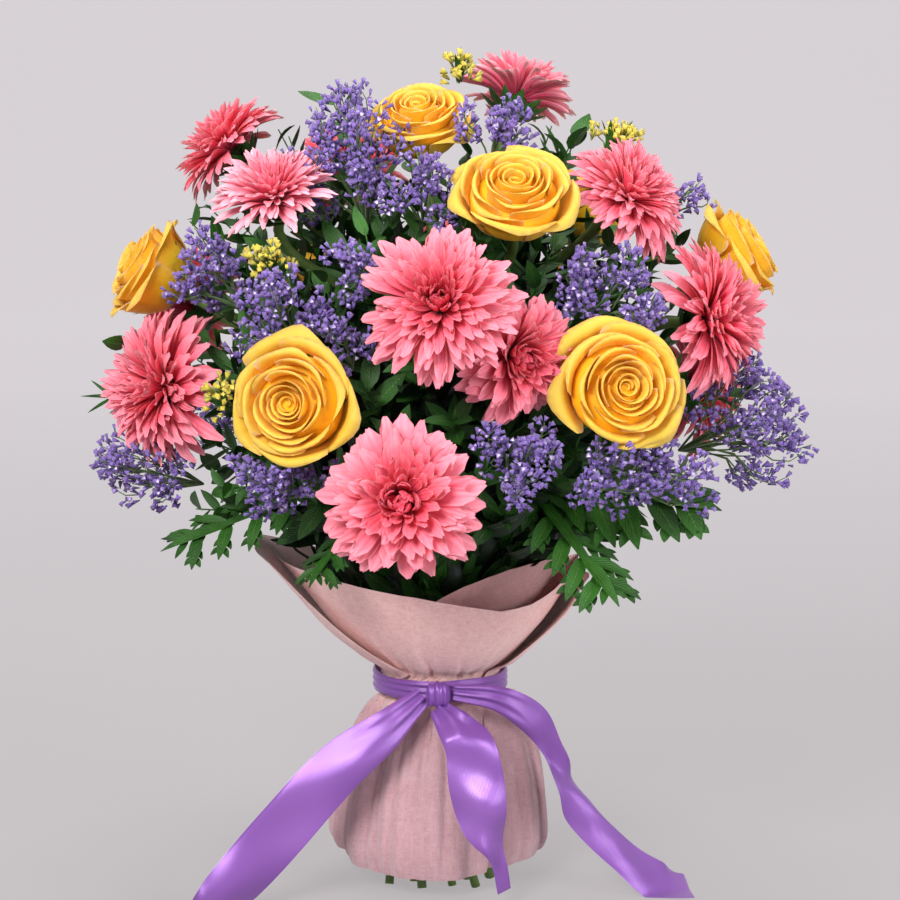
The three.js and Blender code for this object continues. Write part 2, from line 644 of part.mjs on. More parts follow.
function along(table, key, column) {
  const next = table.findIndex((row) => row[0] >= key);
  const i = next < 0 ? table.length - 2 : Math.max(0, next - 1);
  const share = (key - table[i][0]) / (table[i + 1][0] - table[i][0]);
  return mix(table[i][column], table[i + 1][column], THREE.MathUtils.clamp(share, 0, 1));
}

// A point of the form at an angle in degrees. lift: how far outside the form.
function onFelt(angle, v, rim, lift) {
  const a = degrees(angle);
  const fromNeck = Math.max(FELT_NECK[0] - v, v - FELT_NECK[1], 0);
  const depth = 0.4 + 2.2 * Math.min(1, fromNeck / 0.1);
  const up = Math.max(0, (v - FELT_NECK[1]) / (1 - FELT_NECK[1]));
  const raise = along(rim, angle, 1) - FELT_FORM[FELT_FORM.length - 1][2];
  const fold = depth * Math.sin(7 * a + 1.1);
  const apart = lift * (1 + 4 * Math.min(fromNeck, 0.3));
  const radius = along(FELT_FORM, v, 1) + fold + apart + 0.45 * raise * up * up;
  const hem = 8 * Math.pow(Math.abs(Math.sin(a)), 3) * Math.max(0, 1 - v / 0.1);
  const height = along(FELT_FORM, v, 2) + raise * Math.pow(up, 1.6) + hem;
  return new THREE.Vector3(radius * Math.sin(a) + along(FELT_FORM, v, 3), -radius * Math.cos(a), height);
}

function feltSheet(reach, rim, lift, across) {
  const place = (u, v) => {
    const [from, to] = [along(reach, v, 1), along(reach, v, 2)];
    return onFelt(mix(from, to, u), v, rim, lift);
  };
  return sheet(place, across, 10, FELT_THICK);
}

// The ribbon: a gathered band round the tie, a knot in front, and three tails.
function ring(inner, outer, height, sides) {
  const [low, high] = [TIE_HEIGHT - height / 2, TIE_HEIGHT + height / 2];
  return turnedSolid([[inner, low], [outer, low], [outer, high], [inner, high], [inner, low]], sides);
}

function ribbonKnot() {
  const form = new THREE.SphereGeometry(1, 8, 5);
  form.scale(...KNOT.half);
  form.translate(...KNOT.at);
  return solidOf(form);
}

// Tails: points down the middle of each, the way its width lies there and the share of its full width.
const TAILS = {
  ribbon_tail_left: [
    [[-10.4, -47, 121.5], [-0.3, 0, 1], 0.34],
    [[-32, -62, 106], [-0.5, 0, 0.86], 0.62],
    [[-66, -70, 84], [-0.66, 0, 0.75], 0.88],
    [[-102, -78, 49], [-0.7, -0.1, 0.7], 0.98],
    [[-131, -86, 18], [-0.7, -0.3, 0.62], 1],
    [[-150, -94, 4], [-0.6, -0.7, 0.3], 1],
    [[-172, -102, 0.6], [-0.4, -0.9, 0], 1],
    [[-196, -108, 0.4], [-0.3, -0.95, 0], 1],
  ],
  ribbon_tail_front: [
    [[-0.5, -48.8, 113.5], [1, 0, 0], 0.3],
    [[19, -62, 96], [1, 0, 0.3], 0.72],
    [[27, -71, 71], [1, 0, 0.15], 0.8],
    [[33, -74, 48], [1, 0.1, 0], 0.62],
    [[39, -72, 29], [0.8, 0.6, 0], 0.3],
    [[42, -69, 9], [0.8, 0.6, 0], 0.24],
  ],
  ribbon_tail_right: [
    [[8.4, -47, 124.5], [0, 0, 1], 0.26],
    [[36, -51, 121], [0.3, 0, 1], 0.42],
    [[56, -46, 107], [0.7, 0, 0.7], 0.48],
    [[68, -42, 86], [0.8, 0.5, 0.3], 0.36],
    [[75, -42, 66], [0.3, 0.9, 0.1], 0.6],
    [[88, -42, 44], [0.5, 0.5, 0.7], 0.5],
    [[110, -41, 22], [0.4, 0.6, 0.7], 0.62],
    [[132, -39, 5], [0.5, 0.8, 0.3], 0.85],
    [[150, -36, 0.4], [0.6, 0.8, 0], 0.9],
  ],
};
function ribbonTail(stations) {
  const rings = stations.map(([at, way, share], i) => {
    const point = new THREE.Vector3(...at);
    const next = new THREE.Vector3(...stations[Math.min(i + 1, stations.length - 1)][0]);
    const before = new THREE.Vector3(...stations[Math.max(i - 1, 0)][0]);
    const ahead = next.sub(before).normalize();
    const across = new THREE.Vector3(...way);
    const side = across.addScaledVector(ahead, -across.dot(ahead)).normalize();
    const half = side.clone().multiplyScalar((RIBBON_WIDTH / 2) * share);
    const thick = side.clone().cross(ahead).multiplyScalar(RIBBON_THICK / 2);
    return [
      point.clone().add(half).add(thick),
      point.clone().sub(half).add(thick),
      point.clone().sub(half).sub(thick),
      point.clone().add(half).sub(thick),
    ];
  });
  for (const corner of rings.flat()) corner.z = Math.max(corner.z, 0);
  return loft(rings);
}

// Assembly. Blooms come first; sprays give way to blooms, and leaves to both.
for (const mum of MUMS) mum.stem = MUM_STEM;
for (const rose of ROSES) rose.stem = ROSE_STEM;
for (const spray of [...LAVENDERS, ...BUDS]) spray.stem = SPRAY_STEM;
// How far a facet of a spray's core lies from its middle, as a share of a corner's distance.
for (const spray of LAVENDERS) spray.facet = 0.795;
for (const bud of BUDS) bud.facet = 0.577;
const blooms = [
  ...MUMS.map((head, i) => ({ head, kind: "mum", solid: mumHead(head, i) })),
  ...ROSES.map((head, i) => ({ head, kind: "rose", solid: roseHead(head, i) })),
];
const LAVENDER_FORM = new THREE.IcosahedronGeometry(1, 0);
const BUD_FORM = new THREE.OctahedronGeometry(1, 0);
const BUD_SEED = LAVENDERS.length;
const sprays = [
  ...LAVENDERS.map((head, i) => ({ head, kind: "lavender", solid: sprayHead(head, i, LAVENDER_FORM, -0.3) })),
  ...BUDS.map((head, i) => ({ head, kind: "bud", solid: sprayHead(head, BUD_SEED + i, BUD_FORM, 0.12) })),
];

// Two heads of the same rank that meet are parted by a plane between them, nearer to the smaller one.
function parted(pieces) {
  const meanOf = ([x, y, z]) => Math.cbrt(x * y * z);
  const reach = ({ head }) => (head.half ? meanOf(head.half) : head.across / 2);
  for (const [i, a] of pieces.entries())
    for (const b of pieces.slice(i + 1)) {
      if (a.solid.intersect(b.solid).volume() < 1e-6) continue;
      const from = new THREE.Vector3(...a.head.at);
      const way = new THREE.Vector3(...b.head.at).sub(from);
      const normal = way.clone().normalize();
      const offset = from.addScaledVector(way, reach(a) / (reach(a) + reach(b))).dot(normal);
      a.solid = largest(a.solid.trimByPlane(normal.clone().negate().toArray(), GAP / 2 - offset));
      b.solid = largest(b.solid.trimByPlane(normal.toArray(), offset + GAP / 2));
    }
}
const roomFor = ({ head, solid }) => ({ head, ...roomOf(solid) });
parted(blooms);
const bloomRooms = blooms.map(roomFor);
for (const spray of sprays) spray.solid = largest(clearOf(spray.solid, bloomRooms));
parted(sprays);
const headRooms = [...bloomRooms, ...sprays.map(roomFor)];

const ties = placesAtTie(blooms.map(({ head }) => head));
const stems = [...blooms, ...sprays].map(({ head }) => clearStem(head, ties.get(head), headRooms));
const core = foliageCore(0);
const coreRoom = foliageCore(GAP);
const leaves = LEAVES.map((leaf) => ({
  leaf,
  solid: largest(clearOf(cutLeaf(leaf).subtract(coreRoom), headRooms)),
}));
const felts = {
  felt_front: feltSheet(FRONT_REACH, FRONT_RIM, 0, 12),
  felt_back: feltSheet(BACK_REACH, BACK_RIM, FELT_LIFT, 16),
};

// Small leaves fill the gaps: of many directions spread evenly, those where a leaf fits are kept.
const LEAF_DIRECTIONS = 45;
function gapLeaves() {
  const random = seeded(77);
  const taken = [...headRooms, ...leaves.map(({ solid }) => roomOf(solid))];
  for (const solid of Object.values(felts)) taken.push({ solid });
  const centre = new THREE.Vector3(...CORE_CENTRE);
  const kept = [];
  for (let k = 0; k < LEAF_DIRECTIONS; k++) {
    const height = 1 - (1.72 * (k + 0.5)) / LEAF_DIRECTIONS;
    const out = Math.sqrt(1 - height * height);
    const way = new THREE.Vector3(out * Math.cos(k * GOLDEN), out * Math.sin(k * GOLDEN), height);
    const level = new THREE.Vector3(0, 0, 1).cross(way).normalize();
    const across = level.applyAxisAngle(way, random() * Math.PI * 2);
    const root = way.clone().multiply(new THREE.Vector3(...CORE_RADII)).multiplyScalar(0.88).add(centre);
    const leaning = way.clone().addScaledVector(across, 0.35 + 0.3 * random()).normalize();
    const tip = leaning.multiplyScalar(122 + 24 * random()).add(centre);
    const leaf = lanceLeaf(root, tip, way, 20 + 8 * random());
    if (taken.every((room) => room.solid.intersect(leaf).volume() < 1e-6)) kept.push(leaf);
  }
  return kept;
}

for (const { head, kind, solid } of [...blooms, ...sprays]) addPiece(head.name, solid, kind);
for (const { leaf, solid } of leaves) addPiece(leaf.name, solid, "leaf");
addPiece("stems_with_leaves", joined([core, ...stems, ...gapLeaves()]), "stem");
addPiece("tie_string", ring(TIE_RADIUS - 0.25, STRING_OUTER, 7, 14), "string");
for (const [name, solid] of Object.entries(felts)) addPiece(name, solid, "felt");
addPiece("ribbon_band", ring(BAND_INNER, BAND_INNER + BAND_THICK, BAND_HEIGHT, 20), "ribbon");
addPiece("ribbon_knot", ribbonKnot(), "ribbon");
for (const [name, stations] of Object.entries(TAILS)) addPiece(name, ribbonTail(stations), "ribbon");

export default bouquet;
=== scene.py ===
# A hand-tied mixed bouquet in a felt wrap with a satin ribbon. Metres, +Z up, the front looks along -Y.
from functools import partial, partialmethod

import bpy
import numpy as np
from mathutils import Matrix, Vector


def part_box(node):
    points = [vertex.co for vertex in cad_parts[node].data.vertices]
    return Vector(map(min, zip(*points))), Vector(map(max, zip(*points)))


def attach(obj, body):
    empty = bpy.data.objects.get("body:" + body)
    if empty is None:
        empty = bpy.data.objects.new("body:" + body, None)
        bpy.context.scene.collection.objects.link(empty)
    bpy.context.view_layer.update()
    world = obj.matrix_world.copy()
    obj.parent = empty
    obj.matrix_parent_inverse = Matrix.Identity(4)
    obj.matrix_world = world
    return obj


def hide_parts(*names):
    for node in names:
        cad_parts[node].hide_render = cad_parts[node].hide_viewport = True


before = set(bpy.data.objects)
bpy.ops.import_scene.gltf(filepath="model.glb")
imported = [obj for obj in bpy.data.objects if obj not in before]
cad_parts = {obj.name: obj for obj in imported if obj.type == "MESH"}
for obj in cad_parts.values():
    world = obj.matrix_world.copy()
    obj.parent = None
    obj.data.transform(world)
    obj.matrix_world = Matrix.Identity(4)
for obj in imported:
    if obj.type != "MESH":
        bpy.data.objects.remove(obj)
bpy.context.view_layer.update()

MM = 0.001
UP = np.array([0, 0, 1.0])
GOLDEN = np.pi * (3 - np.sqrt(5))
TIE_HEIGHT = 123 * MM  # the ribbon's middle above the floor
FOCUS = np.array([0, 0, 215]) * MM  # sprays look away from this point
CORE_CENTRE = np.array([0, 0, 285]) * MM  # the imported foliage, roughly an ellipsoid that the stems pass
CORE_RADII = np.array([78, 78, 94]) * MM


# Small helpers for arrays
def unit(v):
    """Vectors divided by their lengths."""
    return v / np.maximum(np.linalg.norm(v, axis=-1, keepdims=True), 1e-12)


def smooth(x):
    """The step 3x^2 - 2x^3 of x held between 0 and 1."""
    x = np.clip(x, 0, 1)
    return x * x * (3 - 2 * x)


def bell(x):
    """The bell curve e to the power of minus x squared."""
    return np.exp(-(x**2))


def frames_along(direction):
    """For unit directions, a side and an up direction square to each."""
    helper = np.where(np.abs(direction[..., 2:]) < 0.95, UP, [1.0, 0, 0])
    side = unit(np.cross(helper, direction))
    return side, np.cross(direction, side)


def around(direction, angle):
    """Directions square to unit directions, at angles about them."""
    side, up = frames_along(direction)
    return side * np.cos(angle)[..., None] + up * np.sin(angle)[..., None]


def turned_to(direction):
    """A matrix whose columns are two side directions and the given direction."""
    direction = unit(direction)
    return np.stack([*frames_along(direction), direction], axis=-1)


def spokes(angle):
    """Level directions out at angles from +X towards +Y, and the ones a quarter turn further."""
    cosine, sine, level = np.cos(angle), np.sin(angle), 0 * angle
    return np.stack([cosine, sine, level], axis=-1), np.stack([-sine, cosine, level], axis=-1)


def whole_turn(count):
    """Angles that divide a whole turn in equal steps."""
    return np.arange(count) / count * 2 * np.pi


def golden_ways(count, top, drop):
    """Unit directions a golden angle apart, whose heights fall evenly from top by drop."""
    k = np.arange(count)
    level = top - drop * (k + 0.5) / count
    ring = np.sqrt(1 - level**2)
    return np.stack([ring * np.cos(k * GOLDEN), ring * np.sin(k * GOLDEN), level], axis=-1)


def curve_through(stations, count):
    """Points of Catmull-Rom curves through stations (K, ..., D), count of them, evenly by station."""
    stations = np.asarray(stations, float)
    padded = np.concatenate([2 * stations[:1] - stations[1:2], stations, 2 * stations[-1:] - stations[-2:-1]])
    at = np.linspace(0, len(stations) - 1, count)
    i = np.minimum(at.astype(int), len(stations) - 2)
    t = (at - i).reshape(-1, *[1] * (stations.ndim - 1))
    a, b, c, d = padded[i], padded[i + 1], padded[i + 2], padded[i + 3]
    return 0.5 * (2 * b + (c - a) * t + (2 * a - 5 * b + 4 * c - d) * t**2 + (3 * b - a - 3 * c + d) * t**3)


def grid_of(rows, columns):
    """Places along a sheet from 0 to 1, as a column, and across it from -1 to 1."""
    return np.linspace(0, 1, rows)[:, None], np.linspace(-1, 1, columns)


def grid_quads(index):
    """Quads of a grid of vertex numbers, facing the way of (columns x rows)."""
    a, b, c, d = index[:-1, :-1], index[:-1, 1:], index[1:, 1:], index[1:, :-1]
    return np.stack([a, b, c, d], axis=-1).reshape(-1, 4)


# A part of a mesh is a dict: points (N, 3), quads (M, 4), mark (N, 3), tone (N,), hard (N,)
def part_of(points, quads, mark, tone, hard):
    """Copies (P, n, 3) of one topology (m, 4) laid end to end."""
    copies, size = points.shape[:2]
    quads = quads[None] + size * np.arange(copies)[:, None, None]
    return dict(points=points.reshape(-1, 3), quads=quads.reshape(-1, 4), mark=mark.reshape(-1, 3),
                tone=tone.ravel(), hard=hard.ravel())


def marked(surface, across, along, age=0):
    """The marks of a surface's points: across, along and age, each spread over the whole surface."""
    mark = np.empty(surface.shape)
    mark[..., 0], mark[..., 1], mark[..., 2] = across, along, age
    return mark


def thin_sheets(middle, thickness, mark, tone, under=None):
    """Closed sheets about middle surfaces (P, S, C, 3): each point goes half the thickness out along the
    normal to either side, and both sides share the rim. The underside may have marks of its own."""
    copies, rows, columns, _ = middle.shape
    normal = unit(np.cross(np.gradient(middle, axis=2), np.gradient(middle, axis=1)))
    rim = np.ones((rows, columns), bool)
    rim[1:-1, 1:-1] = False
    half = np.where(rim, 0, 0.5 * thickness)[..., None]
    size, hidden = rows * columns, (rows - 2) * (columns - 2)

    def both(above, below):
        """Values of all points above, then those of the inner points below."""
        below = below[:, 1:-1, 1:-1].reshape(copies, hidden, *below.shape[3:])
        return np.concatenate([above.reshape(copies, size, *above.shape[3:]), below], axis=1)

    points = both(middle + normal * half, middle - normal * half)
    top = np.arange(size).reshape(rows, columns)
    below = top.copy()
    below[1:-1, 1:-1] = size + np.arange(hidden).reshape(rows - 2, columns - 2)
    quads = np.concatenate([grid_quads(top), grid_quads(below)[:, ::-1]])
    mark = np.broadcast_to(mark, middle.shape)
    tone = np.broadcast_to(tone, middle.shape[:3])
    hard = np.broadcast_to(rim, middle.shape[:3])
    under = mark if under is None else np.broadcast_to(under, middle.shape)
    return part_of(points, quads, both(mark, under), both(tone, tone), both(hard, np.zeros_like(hard)))


def tubes(centres, radii, sides, tone):
    """Closed tubes along paths (P, S, 3), of radii (P, S) or (S,): rings square to the path, capped flat."""
    ring = around(unit(np.gradient(centres, axis=1))[:, :, None], whole_turn(sides))
    return wound(centres[:, :, None] + ring * radii[..., None, None], tone)


def wound(points, tone, mark=None):
    """Closed bodies from rings (P, S, R, 3) of an even count of points, which run anticlockwise about the
    way from ring to ring; both ends are capped."""
    copies, rows, sides, _ = points.shape
    index = np.arange(rows * sides).reshape(rows, sides)
    around = grid_quads(np.concatenate([index, index[:, :1]], axis=1))
    k = np.arange(sides // 2 - 1)
    cap = np.stack([k, k + 1, sides - 2 - k, sides - 1 - k], axis=-1)
    quads = np.concatenate([around, cap[:, ::-1], cap + (rows - 1) * sides])
    if mark is None:
        mark = marked(points, 1, np.linspace(0, 1, rows)[:, None])
    tone = np.broadcast_to(tone, points.shape[:3])
    return part_of(points.reshape(copies, -1, 3), quads, mark, tone, np.zeros(points.shape[:3], bool))


def turned_body(radius, height, sides):
    """Rings (1, S, sides, 3) about +Z, of radii and heights (S,)."""
    return (spokes(whole_turn(sides))[0] * radius[:, None, None] + UP * height[:, None, None])[None]


def placed(part, matrix, at):
    """The part turned by a matrix of column directions, then moved."""
    return {**part, "points": part["points"] @ matrix.T + at}


def merged(parts):
    """Several parts as one."""
    offsets = np.cumsum([0] + [len(part["points"]) for part in parts[:-1]])
    keys = ("points", "mark", "tone", "hard")
    joined = {key: np.concatenate([part[key] for part in parts]) for key in keys}
    joined["quads"] = np.concatenate([part["quads"] + start for part, start in zip(parts, offsets)])
    return joined


def linked(name, data):
    """A new object in the scene."""
    made = bpy.data.objects.new(name, data)
    bpy.context.scene.collection.objects.link(made)
    return made


def finished(name, part, material, nodes=()):
    """The part as a Blender piece that rides on the bouquet, with its marks as attributes."""
    points, mark, tone = (part[key].astype(np.float32).ravel() for key in ("points", "mark", "tone"))
    corners = part["quads"].astype(np.int32).ravel()
    mesh = bpy.data.meshes.new(name)
    mesh.vertices.add(len(points) // 3)
    mesh.vertices.foreach_set("co", points)
    mesh.loops.add(len(corners))
    mesh.loops.foreach_set("vertex_index", corners)
    mesh.polygons.add(len(corners) // 4)
    mesh.polygons.foreach_set("loop_start", np.arange(0, len(corners), 4, dtype=np.int32))
    mesh.update(calc_edges=True)
    mesh.polygons.foreach_set("use_smooth", np.ones(len(mesh.polygons), bool))
    mesh.attributes.new("mark", "FLOAT_VECTOR", "POINT").data.foreach_set("vector", mark)
    mesh.attributes.new("tone", "FLOAT", "POINT").data.foreach_set("value", tone)
    ends = np.zeros(len(mesh.edges) * 2, np.int32)
    mesh.edges.foreach_get("vertices", ends)
    sharp = part["hard"][ends.reshape(-1, 2)].all(axis=1)
    mesh.attributes.new("sharp_edge", "BOOLEAN", "EDGE").data.foreach_set("value", sharp)
    mesh.materials.append(material)
    piece = linked(name, mesh)
    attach(piece, "root")
    if nodes:
        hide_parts(*nodes)
    return piece


# Materials
def rgb(code):
    """Linear colour from a six-digit screen colour."""
    screen = np.array([int(code[i:i + 2], 16) for i in (0, 2, 4)]) / 255
    return (*np.where(screen <= 0.04045, screen / 12.92, ((screen + 0.055) / 1.055) ** 2.4), 1.0)


class Value:
    """A socket of a material. The operators add Math nodes."""

    def __init__(self, paint, socket):
        self.paint, self.socket = paint, socket

    def maths(self, operation, *others):
        return self.paint.node("ShaderNodeMath", {"operation": operation}, dict(enumerate((self, *others))))

    __add__ = __radd__ = partialmethod(maths, "ADD")
    __mul__ = __rmul__ = partialmethod(maths, "MULTIPLY")
    __sub__ = partialmethod(maths, "SUBTRACT")
    __pow__ = partialmethod(maths, "POWER")

    def __rsub__(self, other):
        return (self * -1) + other

    def clamp(self):
        return self.maths("MINIMUM", 1).maths("MAXIMUM", 0)


class Paint:
    """A material and its main shader; node() adds any other node and gives back one of its outputs."""

    def __init__(self, name, **constants):
        self.material = bpy.data.materials.new(name)
        self.material.use_nodes = True
        self.tree = self.material.node_tree
        self.shader = self.tree.nodes["Principled BSDF"]
        for socket, value in constants.items():
            self.shader.inputs[socket.replace("_", " ")].default_value = value

    def node(self, kind, settings=None, inputs=None, output=0):
        made = self.tree.nodes.new(kind)
        for key, value in (settings or {}).items():
            if key == "stops":
                elements = made.color_ramp.elements
                while len(elements) < len(value):
                    elements.new(1.0)
                for stop, (at, colour) in zip(elements, value):
                    stop.position, stop.color = at, rgb(colour)
            else:
                setattr(made, key, value)
        for key, value in (inputs or {}).items():
            if isinstance(value, Value):
                self.tree.links.new(value.socket, made.inputs[key])
            else:
                made.inputs[key].default_value = value
        return Value(self, made.outputs[output])

    def feed(self, socket, value):
        self.tree.links.new(value.socket, self.shader.inputs[socket])

    def done(self, colour, roughness, height=None, distance=0.0):
        """The material, with its colour, its roughness and a bump of a height times a distance in metres."""
        self.feed("Base Color", colour)
        self.feed("Roughness", roughness)
        if height:
            inputs = {"Height": height, "Distance": distance, "Strength": 1.0}
            self.feed("Normal", self.node("ShaderNodeBump", inputs=inputs))
        return self.material

    def marks(self):
        """Across, along and age of a petal or leaf, and its tone."""
        vector = self.node("ShaderNodeAttribute", {"attribute_name": "mark"}, output="Vector")
        split = [self.node("ShaderNodeSeparateXYZ", inputs={0: vector}, output=i) for i in range(3)]
        return (*split, self.node("ShaderNodeAttribute", {"attribute_name": "tone"}, output="Fac"))

    def place(self, scale):
        """Object coordinates, stretched."""
        coordinates = self.node("ShaderNodeTexCoord", output="Object")
        return self.node("ShaderNodeMapping", inputs={"Vector": coordinates, "Scale": scale})

    def noise(self, scale, detail, vector=None, roughness=0.6):
        """Fractal noise with scale lumps a metre, in object coordinates unless a vector is given."""
        vector = vector or self.node("ShaderNodeTexCoord", output="Object")
        inputs = {"Vector": vector, "Scale": scale, "Detail": detail, "Roughness": roughness}
        return self.node("ShaderNodeTexNoise", inputs=inputs)

    def ramp(self, value, *stops):
        """A colour by value, straight between stops of a place and a colour code."""
        return self.node("ShaderNodeValToRGB", {"stops": stops}, {"Fac": value})

    def blend(self, share, first, second, how="MIX"):
        """Two colours mixed; each is a colour code or a link."""
        ends = [c if isinstance(c, Value) else rgb(c) for c in (first, second)]
        return self.node("ShaderNodeMix", {"data_type": "RGBA", "blend_type": how},
                         {0: share, 6: ends[0], 7: ends[1]}, output=2)


def petal_paint(name, stops, tip, heart, vein, roughness, glow):
    """Petal colour by a ramp from root to tip, paler rims, a deeper heart, and fine long veins."""
    paint = Paint(name, Sheen_Weight=0.05, Specular_IOR_Level=0.3, Subsurface_Weight=glow,
                  Subsurface_Scale=0.006, Subsurface_Radius=(1.0, 0.6, 0.4))
    across, along, age, tone = paint.marks()
    mottled = paint.noise(180.0, 3.0)
    length = (along + (mottled - 0.5) * 0.3 + (tone - 0.5) * 0.22).clamp()
    # The ramp's dark root is partly the petals' own deeper colour at the base and partly painted shade where
    # the petals crowd together.
    colour = paint.ramp(length, *stops)
    rim = (across * across) ** 2.0
    colour = paint.blend((rim * 0.35 + (along ** 8.0) * 0.3).clamp(), colour, tip)
    colour = paint.blend(((1 - age) ** 2.0 * 0.75).clamp(), colour, heart)
    lines = (across * vein).maths("SINE") * 0.5 + 0.5
    colour = paint.blend(lines * 0.1, colour, stops[0][1])
    return paint.done(colour, mottled * 0.2 + roughness, lines * 0.5 + mottled * 0.6, 0.5 * MM)


def green_paint(name, dark, light, roughness):
    """Leaf green by noise and tone, lighter along the rib."""
    paint = Paint(name, Coat_Roughness=0.3)
    across, along, age, tone = paint.marks()
    mottled = paint.noise(70.0, 4.0)
    colour = paint.blend((mottled * 0.9 + tone * 0.5 - 0.25).clamp(), dark, light)
    rib = (1 - across.maths("ABSOLUTE") * 9).clamp()
    colour = paint.blend(rib * 0.22, colour, "7DA04C")
    veins = (along * 60 + across.maths("ABSOLUTE") * -22).maths("SINE")
    return paint.done(colour, mottled * 0.25 + roughness, veins * 0.18 + mottled + rib * 0.6, 0.5 * MM)


def floret_paint(name, body, tip, mouth, stalk, stalk_light):
    """Florets from body to tip colour, with pale mouths; stalks, whose tone is under 0.1, are green."""
    paint = Paint(name, Sheen_Weight=0.2, Subsurface_Weight=0.08, Subsurface_Scale=0.002)
    across, along, age, tone = paint.marks()
    mottled = paint.noise(260.0, 2.0)
    colour = paint.blend((along * 0.9 + (mottled - 0.5) * 0.7).clamp(), body, tip)
    colour = paint.blend(((age - 0.5) * 2).clamp() * ((tone - 0.62) * 4).clamp(), colour, mouth)
    colour = paint.blend((0.45 - tone).maths("MAXIMUM", 0).maths("MINIMUM", 0.3) * 1.4, colour, "2C2358")
    green = paint.blend((mottled * 1.2 - 0.1).clamp(), stalk, stalk_light)
    colour = paint.blend(tone.maths("LESS_THAN", 0.1), colour, green)
    return paint.done(colour, mottled * 0.3 + 0.5, mottled, 0.4 * MM)


def felt_paint():
    """Matt felt: pale pink with lighter and darker fibres lying every way, and a faint cloudiness."""
    paint = Paint("felt", Sheen_Weight=0.4, Sheen_Roughness=0.6)
    long_way = paint.noise(520.0, 5.0, paint.place((1, 1, 0.16)), 0.75)
    cross_way = paint.noise(620.0, 5.0, paint.place((0.3, 0.3, 1)), 0.75)
    cloud = paint.noise(26.0, 3.0)
    fibres = long_way.maths("MAXIMUM", cross_way)
    across, along, age, tone = paint.marks()
    # Painted shade: below the neck the felt is made darker and cooler.
    skirt_shade = ((0.5 - along) * 8).clamp()
    lightness = (fibres * 1.7 - 0.5 + (cloud - 0.5) * 0.5).clamp()
    colour = paint.ramp(lightness, (0.0, "D69898"), (0.45, "F1BEB9"), (1.0, "FFDED4"))
    colour = paint.blend(skirt_shade, colour, "BEBBC8", "MULTIPLY")
    # Painted shade: the tone darkens the front sheet where it folds back inside.
    colour = paint.blend(tone, colour, "C9B4B8", "MULTIPLY")
    return paint.done(colour, fibres * 0.15 + 0.8, fibres + cloud * 0.4, 0.7 * MM)


def satin_paint():
    """Satin: violet with a broad soft gloss, fine weft threads across and a woven edge."""
    paint = Paint("satin", Metallic=0.3, Sheen_Weight=0.2, Sheen_Roughness=0.25, Sheen_Tint=rgb("F0DCFF"),
                  Coat_Weight=0.22, Coat_Roughness=0.25, Specular_IOR_Level=0.5)
    across, along, age, tone = paint.marks()
    thread = paint.noise(1400.0, 2.0, paint.place((1, 1, 0.3)))
    cloud = paint.noise(18.0, 1.0)
    lightness = (cloud * 0.9 + (thread - 0.5) * 0.03).clamp()
    colour = paint.ramp(lightness, (0.0, "6E3E8E"), (0.5, "8553A6"), (1.0, "9E6EBE"))
    edge = (across.maths("ABSOLUTE") - 0.94).maths("MAXIMUM", 0) * 14
    colour = paint.blend(edge.clamp() * 0.45, colour, "6A3A92")
    return paint.done(colour, thread * 0.03 + 0.31, (across * 130).maths("SINE") * 0.2 + edge, 0.15 * MM)


PINK = petal_paint(
    "pink_petals", [(0.0, "CA143C"), (0.3, "EE3456"), (0.6, "F75874"), (1.0, "FD8A9C")],
    tip="FEAAB8", heart="E42A4C", vein=9.0, roughness=0.42, glow=0.22)
PALE_PINK = petal_paint(
    "pale_pink_petals", [(0.0, "C02046"), (0.35, "EA4E70"), (0.65, "F67E98"), (1.0, "FDACBC")],
    tip="FFCAD2", heart="F05C78", vein=5.0, roughness=0.42, glow=0.18)
YELLOW = petal_paint(
    "yellow_petals", [(0.0, "F8AA0A"), (0.35, "F6B00E"), (0.7, "EFB022"), (1.0, "E8B040")],
    tip="F2CC6A", heart="F8AC08", vein=14.0, roughness=0.52, glow=0.5)
GREEN = green_paint("leaves", "072A05", "2F6C12", 0.42)
# Painted shade: the inner leaves and the foliage core are almost black green, for the shade deep inside the
# bouquet.
SHADE_DARK_GREEN = green_paint("inner_leaves", "041506", "123414", 0.45)
STEM_GREEN = green_paint("stems", "38501E", "6C883C", 0.4)
VIOLET = floret_paint("lavender_florets", "482C7E", "866ABA", "F2E8F4", "1E3A18", "5F7F3A")
BUD_YELLOW = floret_paint("yellow_buds", "8A9628", "DFC43C", "EEDC7E", "2C4A1A", "6F8F3A")
FELT = felt_paint()
SATIN = satin_paint()


# Blooms
def nodes_of(kind):
    """The names of the CAD nodes that start with a kind, with their numbers in order."""
    return enumerate(sorted(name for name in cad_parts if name.startswith(kind)))


def node_points(node):
    """Vertices (N, 3) and triangles (M, 3) of a CAD node."""
    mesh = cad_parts[node].data
    points = np.zeros(len(mesh.vertices) * 3, np.float32)
    mesh.vertices.foreach_get("co", points)
    mesh.calc_loop_triangles()
    corners = np.zeros(len(mesh.loop_triangles) * 3, np.int32)
    mesh.loop_triangles.foreach_get("vertices", corners)
    return points.reshape(-1, 3).astype(float), corners.reshape(-1, 3)


def flat_base(node, sides):
    """A bloom's flat base: the regular polygon among the node's flat faces. Centre, outward way, radius."""
    points, corners = node_points(node)
    a, b, c = (points[corners[:, i]] for i in range(3))
    cross = np.cross(b - a, c - a)
    area, normal = np.linalg.norm(cross, axis=1), unit(cross)
    for seed in np.argsort(-area)[:200]:
        level = (normal @ normal[seed] > 0.9998) & (np.abs((a - a[seed]) @ normal[seed]) < 5e-5)
        rim = np.unique(np.round(points[corners[level]].reshape(-1, 3), 5), axis=0)
        if len(rim) != sides:
            continue
        reach = np.linalg.norm(rim - rim.mean(0), axis=1)
        if reach.std() < 0.03 * reach.mean():
            return rim.mean(0), normal[seed], reach.mean()
    raise SystemExit(f"{node} has no flat base of {sides} corners")


